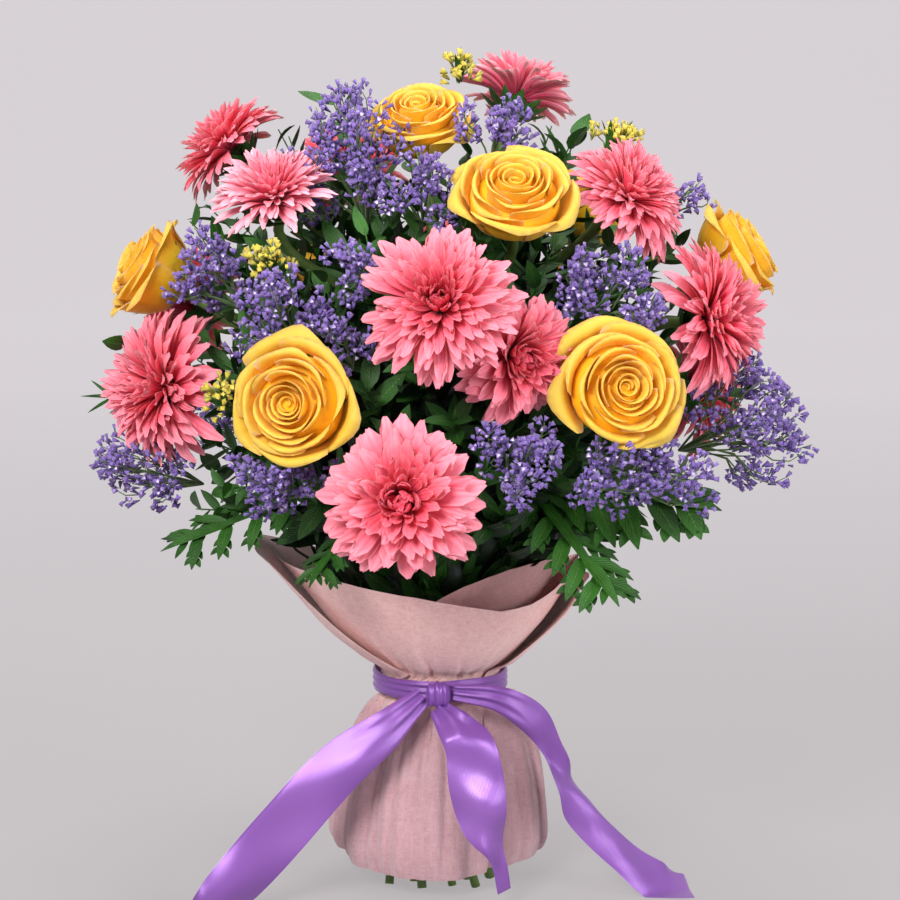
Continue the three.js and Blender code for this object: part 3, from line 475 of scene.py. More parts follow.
# Styles of chrysanthemum: petals, half width inside and outside as a share of the radius, how much petals
# cup, the outermost lean in degrees, how far inner petals curl in and outer ones roll out, the fringe of the
# tips, the innermost petal's length and the outermost one's extra, how crimson the heart is, rows and columns
# of a petal, and the material.
STYLES = {
    "broad": dict(count=150, inner=0.05, outer=0.122, cup=0.3, lean=110, curl=1.35, roll=0.35, fringe=0.02,
                  length=(0.3, 0.5), heart=1, grid=(9, 7), paint=PINK),
    "strap": dict(count=205, inner=0.036, outer=0.088, cup=0.36, lean=110, curl=0.9, roll=0.3, fringe=0.015,
                  length=(0.3, 0.5), heart=1, grid=(8, 7), paint=PINK),
    "dense": dict(count=215, inner=0.05, outer=0.09, cup=0.36, lean=116, curl=0.35, roll=0.3, fringe=0.012,
                  length=(0.44, 0.36), heart=0.45, grid=(7, 5), paint=PINK),
    "quill": dict(count=180, inner=0.034, outer=0.07, cup=0.5, lean=100, curl=0.3, roll=0.2, fringe=0.012,
                  length=(0.34, 0.46), heart=1, grid=(8, 5), paint=PALE_PINK),
}
MUM_STYLES = {
    "mum_centre": "strap", "mum_centre_low": "broad", "mum_front_low": "broad", "mum_upper_left": "quill",
    "mum_top": "quill",
}


def mum_petals(style, radius, rng):
    """Strap petals about +Z. Petal k starts on a small ball, turned k golden angles; its lean's cosine falls
    evenly, so the tips cover a dome. Its middle line turns from its first lean to its last, edges rise as
    the square of the way across, and the tip is fringed."""
    count = style["count"]
    k = np.arange(count)
    age = (k + 0.5) / count
    lean = np.arccos(1 - (1 - np.cos(np.radians(style["lean"]))) * age)
    lean = lean + rng.normal(0, 0.06, count) + rng.uniform(0, 0.3, count) * (1 - age) ** 8
    turn = k * GOLDEN + rng.normal(0, 0.12, count)
    lumps = 1 + 0.05 * np.sin(3 * turn + rng.uniform(0, 6.3)) + 0.05 * np.sin(5 * turn + rng.uniform(0, 6.3))
    shortest, extra = style["length"]
    length = radius * (shortest + extra * (lean / 1.85) ** 0.9) * rng.uniform(0.9, 1.06, count) * lumps
    start = lean * 0.62
    finish = lean + style["roll"] * age**2 - style["curl"] * (1 - age) ** 3
    rows, columns = style["grid"]
    t = np.linspace(0, 1, rows)
    x = np.linspace(-1, 1, columns)
    bend = start[:, None] + (finish - start)[:, None] * t**1.3
    bend = bend + rng.normal(0, 0.12, (count, 1)) * np.sin(np.pi * t)
    step = length[:, None] / (rows - 1)
    out = np.cumsum(np.sin(bend) * step, axis=1) - np.sin(bend[:, :1]) * step
    up = np.cumsum(np.cos(bend) * step, axis=1) - np.cos(bend[:, :1]) * step
    ball = 0.2 * radius
    out = out + ball * np.sin(start)[:, None]
    up = up + ball * np.cos(start)[:, None] - 0.04 * radius
    half = radius * (style["inner"] + (style["outer"] - style["inner"]) * age**0.8)
    half = half * rng.uniform(0.82, 1.15, count)
    width = half[:, None] * (0.34 + 0.66 * np.sin(np.minimum(t / 0.76, 1) * np.pi / 2))
    width = width * np.sqrt(1 - 0.62 * np.clip((t - 0.74) / 0.26, 0, 1) ** 2)
    notches = style["fringe"] * (np.arange(columns) % 2)
    drawn = 0.13 * np.abs(x) ** 3 + notches + rng.uniform(0, style["fringe"], (count, columns))
    back = drawn[:, None, :] * (t**5)[None, :, None] * length[:, None, None]
    radial, side = (way[:, None, None] for way in spokes(turn))
    bend = bend[..., None, None]
    ahead = radial * np.sin(bend) + UP * np.cos(bend)
    lift = -radial * np.cos(bend) + UP * np.sin(bend)
    roll = rng.normal(0, 0.26, count)[:, None, None, None] * t[:, None, None]
    side_now = side * np.cos(roll) + lift * np.sin(roll)
    lift_now = lift * np.cos(roll) - side * np.sin(roll)
    sway = rng.normal(0, 0.05, (count, 1)) * radius * t**2
    middle = radial * out[..., None, None] + UP * up[..., None, None] + side * sway[..., None, None]
    width = width[:, :, None]
    cup = style["cup"] * (1.2 - 0.75 * age)[:, None, None] * width * x**2
    cup = cup + 0.1 * width * np.cos(2 * np.pi * x) * t[:, None] ** 2
    surface = middle + side_now * (width * x)[..., None] + lift_now * cup[..., None] - ahead * back[..., None]
    mark = marked(surface, x, t[:, None], 1 - style["heart"] * (1 - age[:, None, None]))
    tone = rng.uniform(0, 1, count)[:, None, None]
    under = mark * [1, 0.55, 1] + [0, 0.45, 0]
    return thin_sheets(surface, 0.018 * radius * (1 - 0.6 * x**2), mark, tone, under)


def bracts(radius, count, length, width, lean, rng, depth):
    """Pointed green straps under a bloom, in one ring, leaning out from the stem."""
    t, x = grid_of(6, 5)
    turn = (np.arange(count) + rng.uniform(-0.15, 0.15, count)) / count * 2 * np.pi
    radial, side = (way[:, None, None] for way in spokes(turn))
    out = radius * 0.12 + length * np.sin(lean) * t
    up = -depth + length * (np.cos(lean) * t + 0.25 * t**2)
    shape = width * np.sin(np.pi * np.clip(0.22 + 0.78 * t, 0, 1)) ** 0.8
    surface = radial * out[..., None] + side * (shape * x)[..., None]
    surface = surface + UP * (up + 0.2 * shape * x**2)[..., None]
    tone = rng.uniform(0.2, 0.9, count)[:, None, None]
    return thin_sheets(surface, 0.7 * MM, marked(surface, x, t), tone)


def receptacle(radius, depth, top):
    """A turned green body: a bulb whose radius is the square root of sin over its height."""
    t = np.linspace(0.02, 0.98, 9)
    across = radius * np.sqrt(np.sin(np.pi * t)) * (0.55 + 0.45 * t)
    return wound(turned_body(across, -depth + (top + depth) * t, 12), 0.6)


def rose_heart():
    """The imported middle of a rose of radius 37, in mm: a turned body, widest at two thirds of its height."""
    profile = [[3, -23], [14, -21], [22, -14], [25, -5], [22, 1], [14, 5.5], [7, 7.5], [2, 8]]
    body = turned_body(*curve_through(profile, 24).T, 24)
    return wound(body, 0.4, marked(body, 0, 0.3, 0.6))


def rose_petals(radius, rng):
    """Cupped petals about +Z. Petal k is turned k golden angles. Its profile in radius and height is a
    five-point Bezier curve that hugs the bud and turns its lip outward, more on old petals. It spans an arc
    that narrows to the base; one edge tucks in and the other laps out. Drawn in mm for a radius of 37."""
    count = 28
    k = np.arange(count)
    age = k / (count - 1)
    scale = radius / 37
    turn = k * GOLDEN + rng.normal(0, 0.16, count)
    belly = 1.5 + 24 * age**0.85
    lip = 2 + 31.5 * age**0.95 + rng.normal(0, 0.5, count)
    top = 10 + 5 * np.sin(np.pi * age**0.7) - 7 * age**3 + rng.normal(0, 0.8, count)
    flare = 0.7 + 5.5 * age**2.4 * rng.uniform(0.6, 1.2, count)
    droop = 0.3 + 7.5 * age**2.8 * rng.uniform(0.5, 1.5, count)
    knots = [
        np.stack([1 + 2 * age, -24 + 0 * age], axis=-1),
        np.stack([belly * 1.1 + 1, -22 + 0 * age], axis=-1),
        np.stack([belly * 1.12, -4 + 3 * (1 - age)], axis=-1),
        np.stack([lip * 0.94 - 0.6, top + 3.5], axis=-1),
        np.stack([lip + flare, top - droop], axis=-1),
    ]
    t, x = grid_of(13, 11)
    aside = np.abs(x + rng.uniform(-0.4, 0.4, (count, 1)))
    pointed = 0.06 * np.clip(1 - aside * 1.9, 0, 1) * age[:, None] ** 1.5
    top_edge = 1 - 0.17 * np.abs(x) ** 2.6 + pointed - 0.03
    v = t * top_edge[:, None]
    weights = [w * v**i * (1 - v) ** (4 - i) for i, w in enumerate((1, 4, 6, 4, 1))]
    curve = sum(w[..., None] * knots[i][:, None, None] for i, w in enumerate(weights))
    r, z = curve[..., 0], curve[..., 1]
    reach = ((8.5 + 15 * age**0.8) * rng.uniform(0.9, 1.12, count))[:, None, None]
    shape = 0.3 + 0.7 * np.sin(np.minimum(v / 0.7, 1) * np.pi / 2)
    span = np.minimum(reach * shape / np.maximum(r, 2.6), 2.6)
    angle = turn[:, None, None] + span * x
    old = age[:, None, None]
    r = r + (0.9 + 0.8 * old) * x * v
    r = r + old**2 * (2.6 + 3 * np.sin(5 * k))[:, None, None] * np.abs(x) ** 3 * v**2
    wave = rng.uniform(0, 6.3, (count, 1, 1))
    z = z + 0.9 * np.sin(3.2 * x + wave) * v**3 * (0.25 + old)
    r = r + 0.9 * np.sin(4.1 * x + 2 * wave) * v**4 * (0.15 + old)
    surface = scale * np.stack([r * np.cos(angle), r * np.sin(angle), z], axis=-1)
    mark = marked(surface, x, v, old)
    under = mark * [1, 0.5, 0.4] + [0, 0.5, 0.6]
    petals = thin_sheets(surface, 0.6 * MM, mark, rng.uniform(0, 1, count)[:, None, None], under)
    return merged([petals, placed(rose_heart(), scale * np.eye(3), 0)])


# Kinds of blooms: corners of the flat base, how far it lies behind the centre and the bloom's radius, both in
# radii of the base, the bulb's radius, depth and top, and the bracts' count, length, width, lean and depth.
# The depths are shares of the way back to the base, the other sizes shares of the bloom's radius.
MUM = dict(sides=7, behind=11 / 9, across=5, bulb=(0.26, 1.05, 0.12), ring=(11, 0.42, 0.09, 1.25, 0.9))
ROSE = dict(sides=15, behind=30 / 7, across=37 / 7, bulb=(0.2, 1.02, -0.4), ring=(5, 0.75, 0.13, 1.0, 0.86))
blooms = []  # centre, facing, radius, base point
greens = []


def bloom(node, kind, petals, paint, rng):
    """Petals, bulb and bracts laid on the CAD bloom, which its flat base places and sizes."""
    base, out, size = flat_base(node, kind["sides"])
    radius, back = kind["across"] * size, kind["behind"] * size
    centre, matrix = base - out * back, turned_to(-out)
    finished(node + "_petals", placed(petals(radius, rng), matrix, centre), paint, [node])
    wide, deep, top = kind["bulb"]
    count, length, width, lean, depth = kind["ring"]
    bulb = receptacle(wide * radius, back * deep, top * radius)
    ring = bracts(radius, count, length * radius, width * radius, lean, rng, back * depth)
    greens.extend(placed(part, matrix, centre) for part in (bulb, ring))
    blooms.append((centre, -out, radius, base))


for index, node in nodes_of("mum_"):
    style = STYLES[MUM_STYLES.get(node, "dense")]
    petals = partial(mum_petals, style)
    bloom(node, MUM, petals, style["paint"], np.random.default_rng(100 + index))
for index, node in nodes_of("rose_"):
    bloom(node, ROSE, rose_petals, YELLOW, np.random.default_rng(300 + index))
finished("bloom_bases", merged(greens), GREEN)


# Sprays of sea lavender and of yellow buds
def florets(points, ways, length, radius, lobes, tone, rng):
    """Star cups: rings about each way, whose rim swings between two radii, hollowed to a throat."""
    circle = around(ways[:, None], whole_turn(2 * lobes) + rng.uniform(0, 6.3, (len(points), 1)))
    rings = []
    for height, shares in ((0.0, (0.2, 0.2)), (1.0, (1.0, 0.5)), (0.6, (0.18, 0.18))):
        r = (radius[:, None] * np.tile(shares, lobes))[..., None]
        rings.append(points[:, None] + ways[:, None] * (length * height)[:, None, None] + circle * r)
    rings = np.stack(rings, axis=1)
    mark = marked(rings, 0, np.array([[0], [1], [0.8]]), np.array([[0], [0.5], [1]]))
    return wound(rings, tone[:, None, None], mark)


def spray(centre, half, rng, density, size, lobes, spike, tones=(0.12, 1)):
    """Branches fork from the spray's stem to clusters and on to tips that fill an ellipsoid; florets of a
    size, density of them a square mm, stand in spikes along the last stretch of each branch."""
    outward = unit(unit(centre - FOCUS) + [0, 0, 0.35])
    total = max(40, int(density * half[0] * half[2] / MM**2))
    tips = max(6, total // 15)
    groups = max(4, tips // 4)
    ways = golden_ways(groups, 1, 1.7) @ turned_to(outward).T
    hub = (ways * rng.uniform(0.4, 0.95, (groups, 1)))[np.arange(tips) % groups]
    spot = hub + unit(rng.normal(0, 1, (tips, 3))) * rng.uniform(0.15, 0.5, (tips, 1))
    spot = spot / np.maximum(np.linalg.norm(spot, axis=1, keepdims=True) / 1.06, 1)
    tip = centre + half * spot
    root = centre - unit(centre - FOCUS) * np.linalg.norm(half) * 0.8
    fork = 0.55 * (centre + half * hub * 0.8) + 0.45 * root
    lean = unit(0.6 * unit(tip - root) + 0.7 * outward + rng.normal(0, 0.25, (tips, 3)))
    reach = np.linalg.norm(tip - fork, axis=1, keepdims=True)
    path = curve_through([root + 0 * tip, fork, tip - lean * reach * 0.4, tip], 6).swapaxes(0, 1)
    thickness = 0.5 * MM * (1.3 - 0.8 * np.linspace(0, 1, 6))
    branches = tubes(path, thickness, 4, rng.uniform(0, 0.09, (tips, 1, 1)))
    each = total // tips + 1
    down = rng.uniform(0, spike, (tips, each)) * rng.uniform(0.7, 1.3, (tips, 1))
    radial = around(lean[:, None], np.arange(each) * GOLDEN + rng.uniform(0, 6.3, (tips, 1)))
    spread = (0.5 + 2.0 * np.sin(np.pi * np.clip(down / spike, 0, 1)) ** 0.6) * size * 0.8
    points = tip[:, None] - lean[:, None] * down[..., None] + radial * spread[..., None]
    facing = unit(radial * 0.8 + lean[:, None] * 0.9 + rng.normal(0, 0.3, radial.shape))
    points, facing = points.reshape(-1, 3), facing.reshape(-1, 3)
    length = size * rng.uniform(1.2, 2.2, len(points))
    radius = size * rng.uniform(0.5, 0.9, len(points))
    tone = rng.uniform(*tones, len(points))
    return merged([branches, florets(points, facing, length, radius, lobes, tone, rng)])


def half_sizes(node):
    """Centre and half sizes of a CAD node's box."""
    low, high = (np.array(corner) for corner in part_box(node))
    return (low + high) / 2, (high - low) / 2


for index, node in nodes_of("lavender_"):
    rng = np.random.default_rng(500 + index)
    centre, half = half_sizes(node)
    raised = 6 * MM if node.endswith("far_right") else 0
    room = 1.12 * half + 2 * MM
    part = spray(centre + UP * raised, room, rng, density=0.46, size=2.4 * MM, lobes=3, spike=15 * MM)
    finished(node + "_florets", part, VIOLET, [node])
for index, node in nodes_of("buds_"):
    rng = np.random.default_rng(600 + index)
    centre, half = half_sizes(node)
    part = spray(centre, half, rng, density=0.5, size=2.7 * MM, lobes=4, spike=7 * MM, tones=(0.5, 1))
    finished(node + "_cluster", part, BUD_YELLOW, [node])


# Leaves
def blades(root, tip, face, width, arch, tone, teeth, grid=(8, 5)):
    """Thin arched blades from roots to tips (P, 3). Half width follows sin to the power 0.7, with small
    teeth; the middle rises by arch times 4t(1-t) along the face, and the edges lift as a shallow V."""
    t, x = grid_of(*grid)
    ahead = tip - root
    side = unit(np.cross(ahead, face))
    lift = unit(np.cross(side, ahead))
    shape = np.sin(np.pi * np.clip(0.06 + 0.93 * t, 0, 1)) ** 0.7 * (1.2 - 0.4 * t)
    shape = shape * (1 + 0.16 * teeth * np.abs(np.sin(t * 9.4)))
    root, ahead, side, lift = (a[:, None, None] for a in (root, ahead, side, lift))
    width, arch = (a[:, None, None, None] for a in (width, arch))
    middle = root + ahead * t[..., None] + lift * (4 * t * (1 - t))[..., None] * arch
    across = (shape * x)[..., None] * width
    vee = (0.3 * np.abs(x) * shape)[..., None] * width
    surface = middle + side * across + lift * vee
    return thin_sheets(surface, 0.45 * MM, marked(surface, x, t), tone[:, None, None])


def clear_of_blooms(points, margin):
    """Which of (P, n, 3) points all lie outside the room in front of every bloom's heart."""
    free = np.ones(len(points), bool)
    for centre, facing, radius, base in blooms:
        offset = points - centre
        ahead = offset @ facing
        aside = np.linalg.norm(offset - ahead[..., None] * facing, axis=-1)
        inside = (aside < radius * margin) & (ahead > -0.32 * radius) & (ahead < 1.2 * radius)
        free &= ~inside.any(axis=1)
    return free


def pierces_wrap(points):
    """Which of points (P, n, 3) go through the wrap's mouth or hang over it."""
    heights, radii = np.array([140, 153, 174, 196, 216]) * MM, np.array([36, 52, 68, 80, 92]) * MM
    from_axis = np.hypot(points[..., 0], points[..., 1])
    angle = np.degrees(np.arctan2(points[..., 0], -points[..., 1]))
    behind_fold = (angle > -12) & (angle < 95) & (points[..., 2] < 206 * MM)
    room = np.interp(points[..., 2], heights, radii) - 13 * MM * behind_fold
    return ((from_axis > room) & (points[..., 2] < 216 * MM)).any(axis=1)


def loose_leaves(root, tip, way, rng, scatter, width, arch, lightest, teeth):
    """Blades from roots to tips (P, 3) where they stand before no bloom and don't pierce the wrap. They face
    ways that are scattered a little, and widths and arches are drawn between two values in millimetres."""
    checked = np.stack([(root + tip) / 2, 0.3 * root + 0.7 * tip, tip], axis=1)
    free = clear_of_blooms(checked, 0.86) & ~pierces_wrap(checked)
    size = free.sum()
    face = unit(way[free] + rng.normal(0, scatter, (size, 3)))
    width, arch = rng.uniform(*width, size) * MM, rng.uniform(*arch, size) * MM
    return blades(root[free], tip[free], face, width, arch, rng.uniform(0, lightest, size), teeth, (6, 3))


def inner_leaves(count, rng):
    """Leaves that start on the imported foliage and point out, up and aside."""
    share = (np.arange(count) + 0.5) / count
    height = (178 + 184 * share) * MM
    level = spokes(np.arange(count) * GOLDEN)[0]
    way = unit(level + UP * (-0.05 + 1.3 * smooth((share - 0.25) / 0.75))[:, None])
    root = level * foliage_radius(height)[:, None] * rng.uniform(0.85, 1.1, (count, 1)) + UP * height[:, None]
    out = unit(way + 0.2 * UP + rng.normal(0, 0.42, (count, 3)))
    tip = root + out * rng.uniform(26 * MM, 50 * MM, (count, 1))
    return loose_leaves(root, tip, way, rng, scatter=0.5, width=(3.5, 6.5), arch=(2, 8), lightest=1, teeth=1)


def collar_leaves(count, rng):
    """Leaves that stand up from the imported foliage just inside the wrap's rim."""
    level = spokes(np.arange(count) * GOLDEN)[0]
    height = rng.uniform(172, 226, count) * MM
    root = level * (0.93 * foliage_radius(height))[:, None] + UP * height[:, None]
    out = unit(level * rng.uniform(0.15, 0.7, (count, 1)) + 0.8 * UP + rng.normal(0, 0.3, (count, 3)))
    tip = root + out * rng.uniform(18, 34, (count, 1)) * MM
    return loose_leaves(
        root, tip, level, rng, scatter=0.35, width=(2.6, 5), arch=(1, 4), lightest=0.9, teeth=0.8)


# Millimetres: the middle and reach of the heads, and tips of shoots in the gaps between the outer heads
BOUQUET_CENTRE, BOUQUET_REACH = np.array([0, 0, 312]), np.array([168, 140, 146])
GAP_TIPS = np.array([
    [79, 20, 446], [67, 30, 454], [18, 10, 441], [149, 10, 392], [-148, 0, 399], [-141, 30, 407],
    [-97, 30, 452], [-190, -10, 330], [-141, -60, 237], [-124, -80, 254], [91, -20, 394], [-64, 0, 472],
    [190, -10, 301], [-89, 0, 449], [-104, 20, 455], [80, 0, 452], [72, 15, 440],
])


def leafy_shoots(count, leaves, rng):
    """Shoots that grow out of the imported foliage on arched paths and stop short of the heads' faces, each
    with pointed leaves turned golden angles along it. The last ones end at GAP_TIPS."""
    way = golden_ways(count, 0.96, 1.62)
    tip = (BOUQUET_CENTRE + way * BOUQUET_REACH * rng.uniform(0.74, 0.96, (count, 1))) * MM
    tip = np.concatenate([tip, GAP_TIPS * MM])
    way = np.concatenate([way, unit((GAP_TIPS - BOUQUET_CENTRE) / BOUQUET_REACH)])
    count = len(tip)
    root = (280 * UP + way * [60, 60, 75]) * MM
    knee = (root + tip) / 2 - 12 * MM * UP + rng.normal(0, 7, (count, 3)) * MM
    root, knee, tip = root[:, None], knee[:, None], tip[:, None]

    def arc(t):
        """Points of the second-order Bezier curves from roots by knees to tips."""
        return (1 - t) ** 2 * root + 2 * t * (1 - t) * knee + t**2 * tip

    t = np.linspace(0, 1, 7)[:, None]
    path = arc(t)
    free = clear_of_blooms(path[:, 4:], 0.8) & ~pierces_wrap(path[:, 3:])
    stems = tubes(path[free], 0.8 * MM * (1.3 - 0.8 * t[:, 0]), 4, 0.7)
    at = (0.3 + 0.7 * (np.arange(leaves) + 0.5) / leaves)[:, None]
    base = arc(at)
    ahead = unit(2 * (1 - at) * (knee - root) + 2 * at * (tip - knee))
    radial = around(ahead, np.arange(leaves) * GOLDEN + rng.uniform(0, 6.3, (count, 1)))
    out = unit(radial + ahead * rng.uniform(0.5, 1.2, (count, leaves, 1)))
    length = rng.uniform(17, 32, (count, leaves, 1)) * MM * (1.15 - 0.4 * at)
    end = base + out * length
    # Painted shade: leaves low on a shoot, deep in the bouquet, get a darker green.
    shade = (at[:, 0] ** 2 * rng.uniform(0.4, 1.1, base.shape[:2])).ravel()
    base, end, ahead = (a.reshape(-1, 3) for a in (base, end, ahead))
    checked = np.stack([base, (base + end) / 2, end], axis=1)
    free = clear_of_blooms(checked, 0.92) & ~pierces_wrap(checked)
    size = free.sum()
    face = unit(ahead[free] + rng.normal(0, 0.3, (size, 3)))
    width, arch = rng.uniform(2.8, 5.2, size) * MM, rng.uniform(-3, 3, size) * MM
    green = blades(base[free], end[free], face, width, arch, shade[free], teeth=0.6, grid=(6, 3))
    return merged([stems, green])


def cut_leaf(node, rng, hang=0.0):
    """A leaf of pointed lobes in pairs on a rib, laid in the plane that fits the CAD leaf. Lobes that point
    down are longer by hang times how near they are to the root, and all are wider by 0.5 hang."""
    points, _ = node_points(node)
    centre = points.mean(0)
    axes = np.linalg.svd(points - centre, full_matrices=False)[2]
    ahead = axes[0] * np.sign(axes[0] @ (centre * [1, 1, 0]))
    normal = axes[2] * np.sign(axes[2][2] + 1e-9)
    along = (points - centre) @ ahead
    half = np.abs((points - centre) @ axes[1]).max()
    root, tip = centre + ahead * along.min(), centre + ahead * along.max()
    length = along.max() - along.min()
    side = np.cross(ahead, normal)
    pairs = 5
    share = np.linspace(0.16, 0.8, pairs)
    reach = half * 0.95 * np.sin(np.pi * (0.2 + 0.62 * share)) ** 0.8
    droop = normal * 0.16 * half
    starts, ends = [], []
    for sign in (-1, 1):
        start = root + ahead * (share * length)[:, None]
        direction = unit(sign * side + ahead * rng.uniform(0.75, 1.1, (pairs, 1)))
        longer = 1 + hang * (1 - share) * (direction[:, 2] < 0)
        starts.append(start)
        end = start + direction * (reach * 1.15 * longer)[:, None]
        ends.append(end + rng.normal(0, 1.2 * MM, (pairs, 3)) - droop)
    starts = np.concatenate([*starts, (root + ahead * 0.62 * length)[None], root[None]])
    ends = np.concatenate([*ends, tip[None], (root + ahead * 0.9 * length)[None]])
    size = len(starts)
    lobes, tips = [starts], [ends]
    for sign in (-1, 1):
        for at in (0.4, 0.64):
            reach_of = (ends - starts)[:-1]
            way = unit(unit(reach_of) + sign * 0.75 * np.cross(unit(reach_of), normal))
            lobes.append(starts[:-1] + reach_of * at)
            tips.append(lobes[-1] + way * (np.linalg.norm(reach_of, axis=1) * 0.33)[:, None])
    root_all, tip_all = np.concatenate(lobes), np.concatenate(tips)
    many = len(root_all)
    width = np.repeat([0.15, 0.13, 0.085], [size - 1, 1, many - size]) * half * (1 + 0.5 * hang)
    face = np.broadcast_to(normal, root_all.shape)
    arch = np.where(np.arange(many) < size, 2.0, 0.4) * MM
    return blades(root_all, tip_all, face, width, arch, rng.uniform(0.3, 0.9, many), teeth=0.5)


def bud_leaves(centre, half, rng):
    """Seven narrow leaves that stand round a cluster of buds."""
    count = 7
    outward = unit(unit(centre - FOCUS) + [0, 0, 0.5])
    side = spokes(np.arange(count) * GOLDEN)[0] @ turned_to(outward).T
    size = half.mean()
    root = centre - outward * size * rng.uniform(0.9, 1.6, (count, 1)) + side * size * 0.15
    tip = centre + outward * size * rng.uniform(-0.1, 0.75, (count, 1))
    tip = tip + side * size * rng.uniform(0.5, 0.95, (count, 1))
    width, arch = np.full(count, 0.17 * size), np.full(count, -0.12 * size)
    return blades(root, tip, side, width, arch, rng.uniform(0.4, 1, count), teeth=1.0)


for index, node in nodes_of("buds_"):
    centre, half = half_sizes(node)
    finished(node + "_leaves", bud_leaves(centre, half, np.random.default_rng(650 + index)), GREEN)
for index, node in nodes_of("leaf_"):
    hang = 1.0 if node == "leaf_right_rim_outer" else 0.0
    leaf = cut_leaf(node, np.random.default_rng(700 + index), hang)
    finished(node + "_blade", leaf, GREEN, [node])


# Packed foliage and stems
def foliage_radius(height):
    """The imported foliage's radius by height, both in metres."""
    heights = np.array([138, 150, 165, 180, 200, 225, 255, 285, 315, 340, 358, 368])
    radii = np.array([12, 30, 44, 55, 63, 72, 79, 78, 70, 54, 34, 8])
    return np.interp(height, heights * MM, radii * MM)


def foliage_core():
    """A closed turned body of foliage_radius, dented by three waves so that it reads as packed leaves."""
    height = np.linspace(138, 368, 60)[:, None] * MM
    turn = whole_turn(72)
    level = height / (40 * MM)
    waves = np.sin(7 * turn + 5 * level) + np.sin(11 * turn - 7 * level + 1) + np.sin(17 * turn + 4 * level)
    ring = foliage_radius(height) * (0.95 + 0.05 * waves)
    return wound((spokes(turn)[0] * ring[..., None] + UP * height[..., None])[None], 0.0)


# The stems' spiral: how far they turn about the axis from the floor to the tie and from there to the heads,
# in radians, and how far out, in millimetres, the outer ones are at the feet, the tie and the heads
TURN_BELOW, TURN_ABOVE = -1.3, 0.8
AT_FEET, AT_TIE, AT_HEADS = 46, 28, 150
STRAIGHT_NECK = 22 * MM  # of each stem below its bloom
STEM_RINGS = 29


def stem_bundle(rng):
    """Stems on smooth curves from the CAD stems' cut ends to the tie and on to the blooms, each with a few
    raised nodes. A bloom takes the free stem that is nearest to it at the tie."""
    points, _ = node_points("stems_with_leaves")
    feet = points[np.abs(points[:, 2]) < 1e-5]
    places = []
    while len(feet):
        near = np.linalg.norm(feet - feet[0], axis=1) < 7.5 * MM
        places.append(feet[near].mean(0))
        feet = feet[~near]
    places = np.array(places)
    ties = places[:, :2] @ np.stack(spokes(TURN_BELOW))[:, :2] * (AT_TIE / AT_FEET)
    free = list(range(len(places)))
    stems = []
    for centre, facing, radius, base in blooms:
        if not free:
            break
        angle = np.arctan2(base[1], base[0]) + TURN_ABOVE
        wanted = np.hypot(base[0], base[1]) * (AT_TIE / AT_HEADS) * spokes(angle)[0][:2]
        best = min(free, key=lambda i: np.hypot(*(ties[i] - wanted)))
        free.remove(best)
        bend = base - facing * STRAIGHT_NECK
        outward = bend - CORE_CENTRE
        inside = CORE_CENTRE + outward * (0.6 / np.linalg.norm(outward / CORE_RADII))
        stations = [places[best], [*ties[best], TIE_HEIGHT], inside, bend, base + facing * 2 * MM]
        stems.append(curve_through(stations, STEM_RINGS))
    stems = np.array(stems)
    stems[..., 2] = np.maximum(stems[..., 2], 0)
    stems[:, 0, 2] = 0
    swell = 1 + 0.12 * bell((np.arange(STEM_RINGS) % 5 - 2.5) * np.sqrt(2))
    radii = rng.uniform(2.5, 3.1, (len(stems), 1)) * MM * swell
    part = tubes(stems, radii, 8, rng.uniform(0.1, 0.9, (len(stems), 1, 1)))
    part["points"][:, 2] = np.maximum(part["points"][:, 2], 0)
    return part


rng = np.random.default_rng(800)
stems, inner, shoots = stem_bundle(rng), inner_leaves(620, rng), leafy_shoots(146, leaves=11, rng=rng)
for name, part, paint in (
    ("stems", stems, STEM_GREEN), ("foliage_core", foliage_core(), SHADE_DARK_GREEN),
    ("collar_leaves", collar_leaves(420, rng), GREEN), ("inner_leaves", inner, SHADE_DARK_GREEN),
    ("leafy_shoots", shoots, GREEN),
):
    finished(name, part, paint, ["stems_with_leaves"])


# Felt wrap. v runs from the hem to the rim. Row: v, radius, height, shift to the right.
FELT_FORM = np.array([
    [0, 59, 13, -3], [0.1, 62, 30, -3], [0.2, 58, 60, -2], [0.3, 49, 88, -1], [0.4, 39.5, 107, 0],
    [0.5, 32.6, 116, 0], [0.6, 32.6, 130, 0], [0.7, 42, 138, 0], [0.8, 59, 153, -2], [0.9, 77, 174, -1],
    [1, 93, 196, -3],
])
FELT_NECK = (0.5, 0.6)
# Row: an angle from the front in degrees and the rim's height there, of each sheet and of the front's fold.
FRONT_RIM = np.array([
    [-90, 204], [-45, 200], [-6, 191], [28, 179], [45, 180], [60, 186], [75, 195], [90, 199],
])
BACK_RIM = np.array([
    [-280, 190], [-219, 176], [-195, 168], [-180, 166], [-150, 178], [-120, 197], [-90, 212], [-80, 207],
])
FOLD_RIM = np.array([[-4, 183], [4, 190], [12, 195], [22, 199], [33, 202], [46, 203], [68, 202], [90, 199]])
# Row: v, the angles where the sheet starts and ends, in degrees from the front.
FRONT_REACH = np.array([
    [0, -152, 33], [0.3, -146, 32], [0.4, -138, 42], [0.5, -118, 60], [0.6, -68, 66], [0.8, -76, 80],
    [1, -88, 90],
])
BACK_REACH = np.array([
    [0, -132, -340], [0.3, -122, -340], [0.4, -112, -332], [0.5, -84, -320], [0.6, -31, -311],
    [0.7, -35, -309], [0.8, -44, -305], [0.9, -57, -298], [1, -67, -287],
])
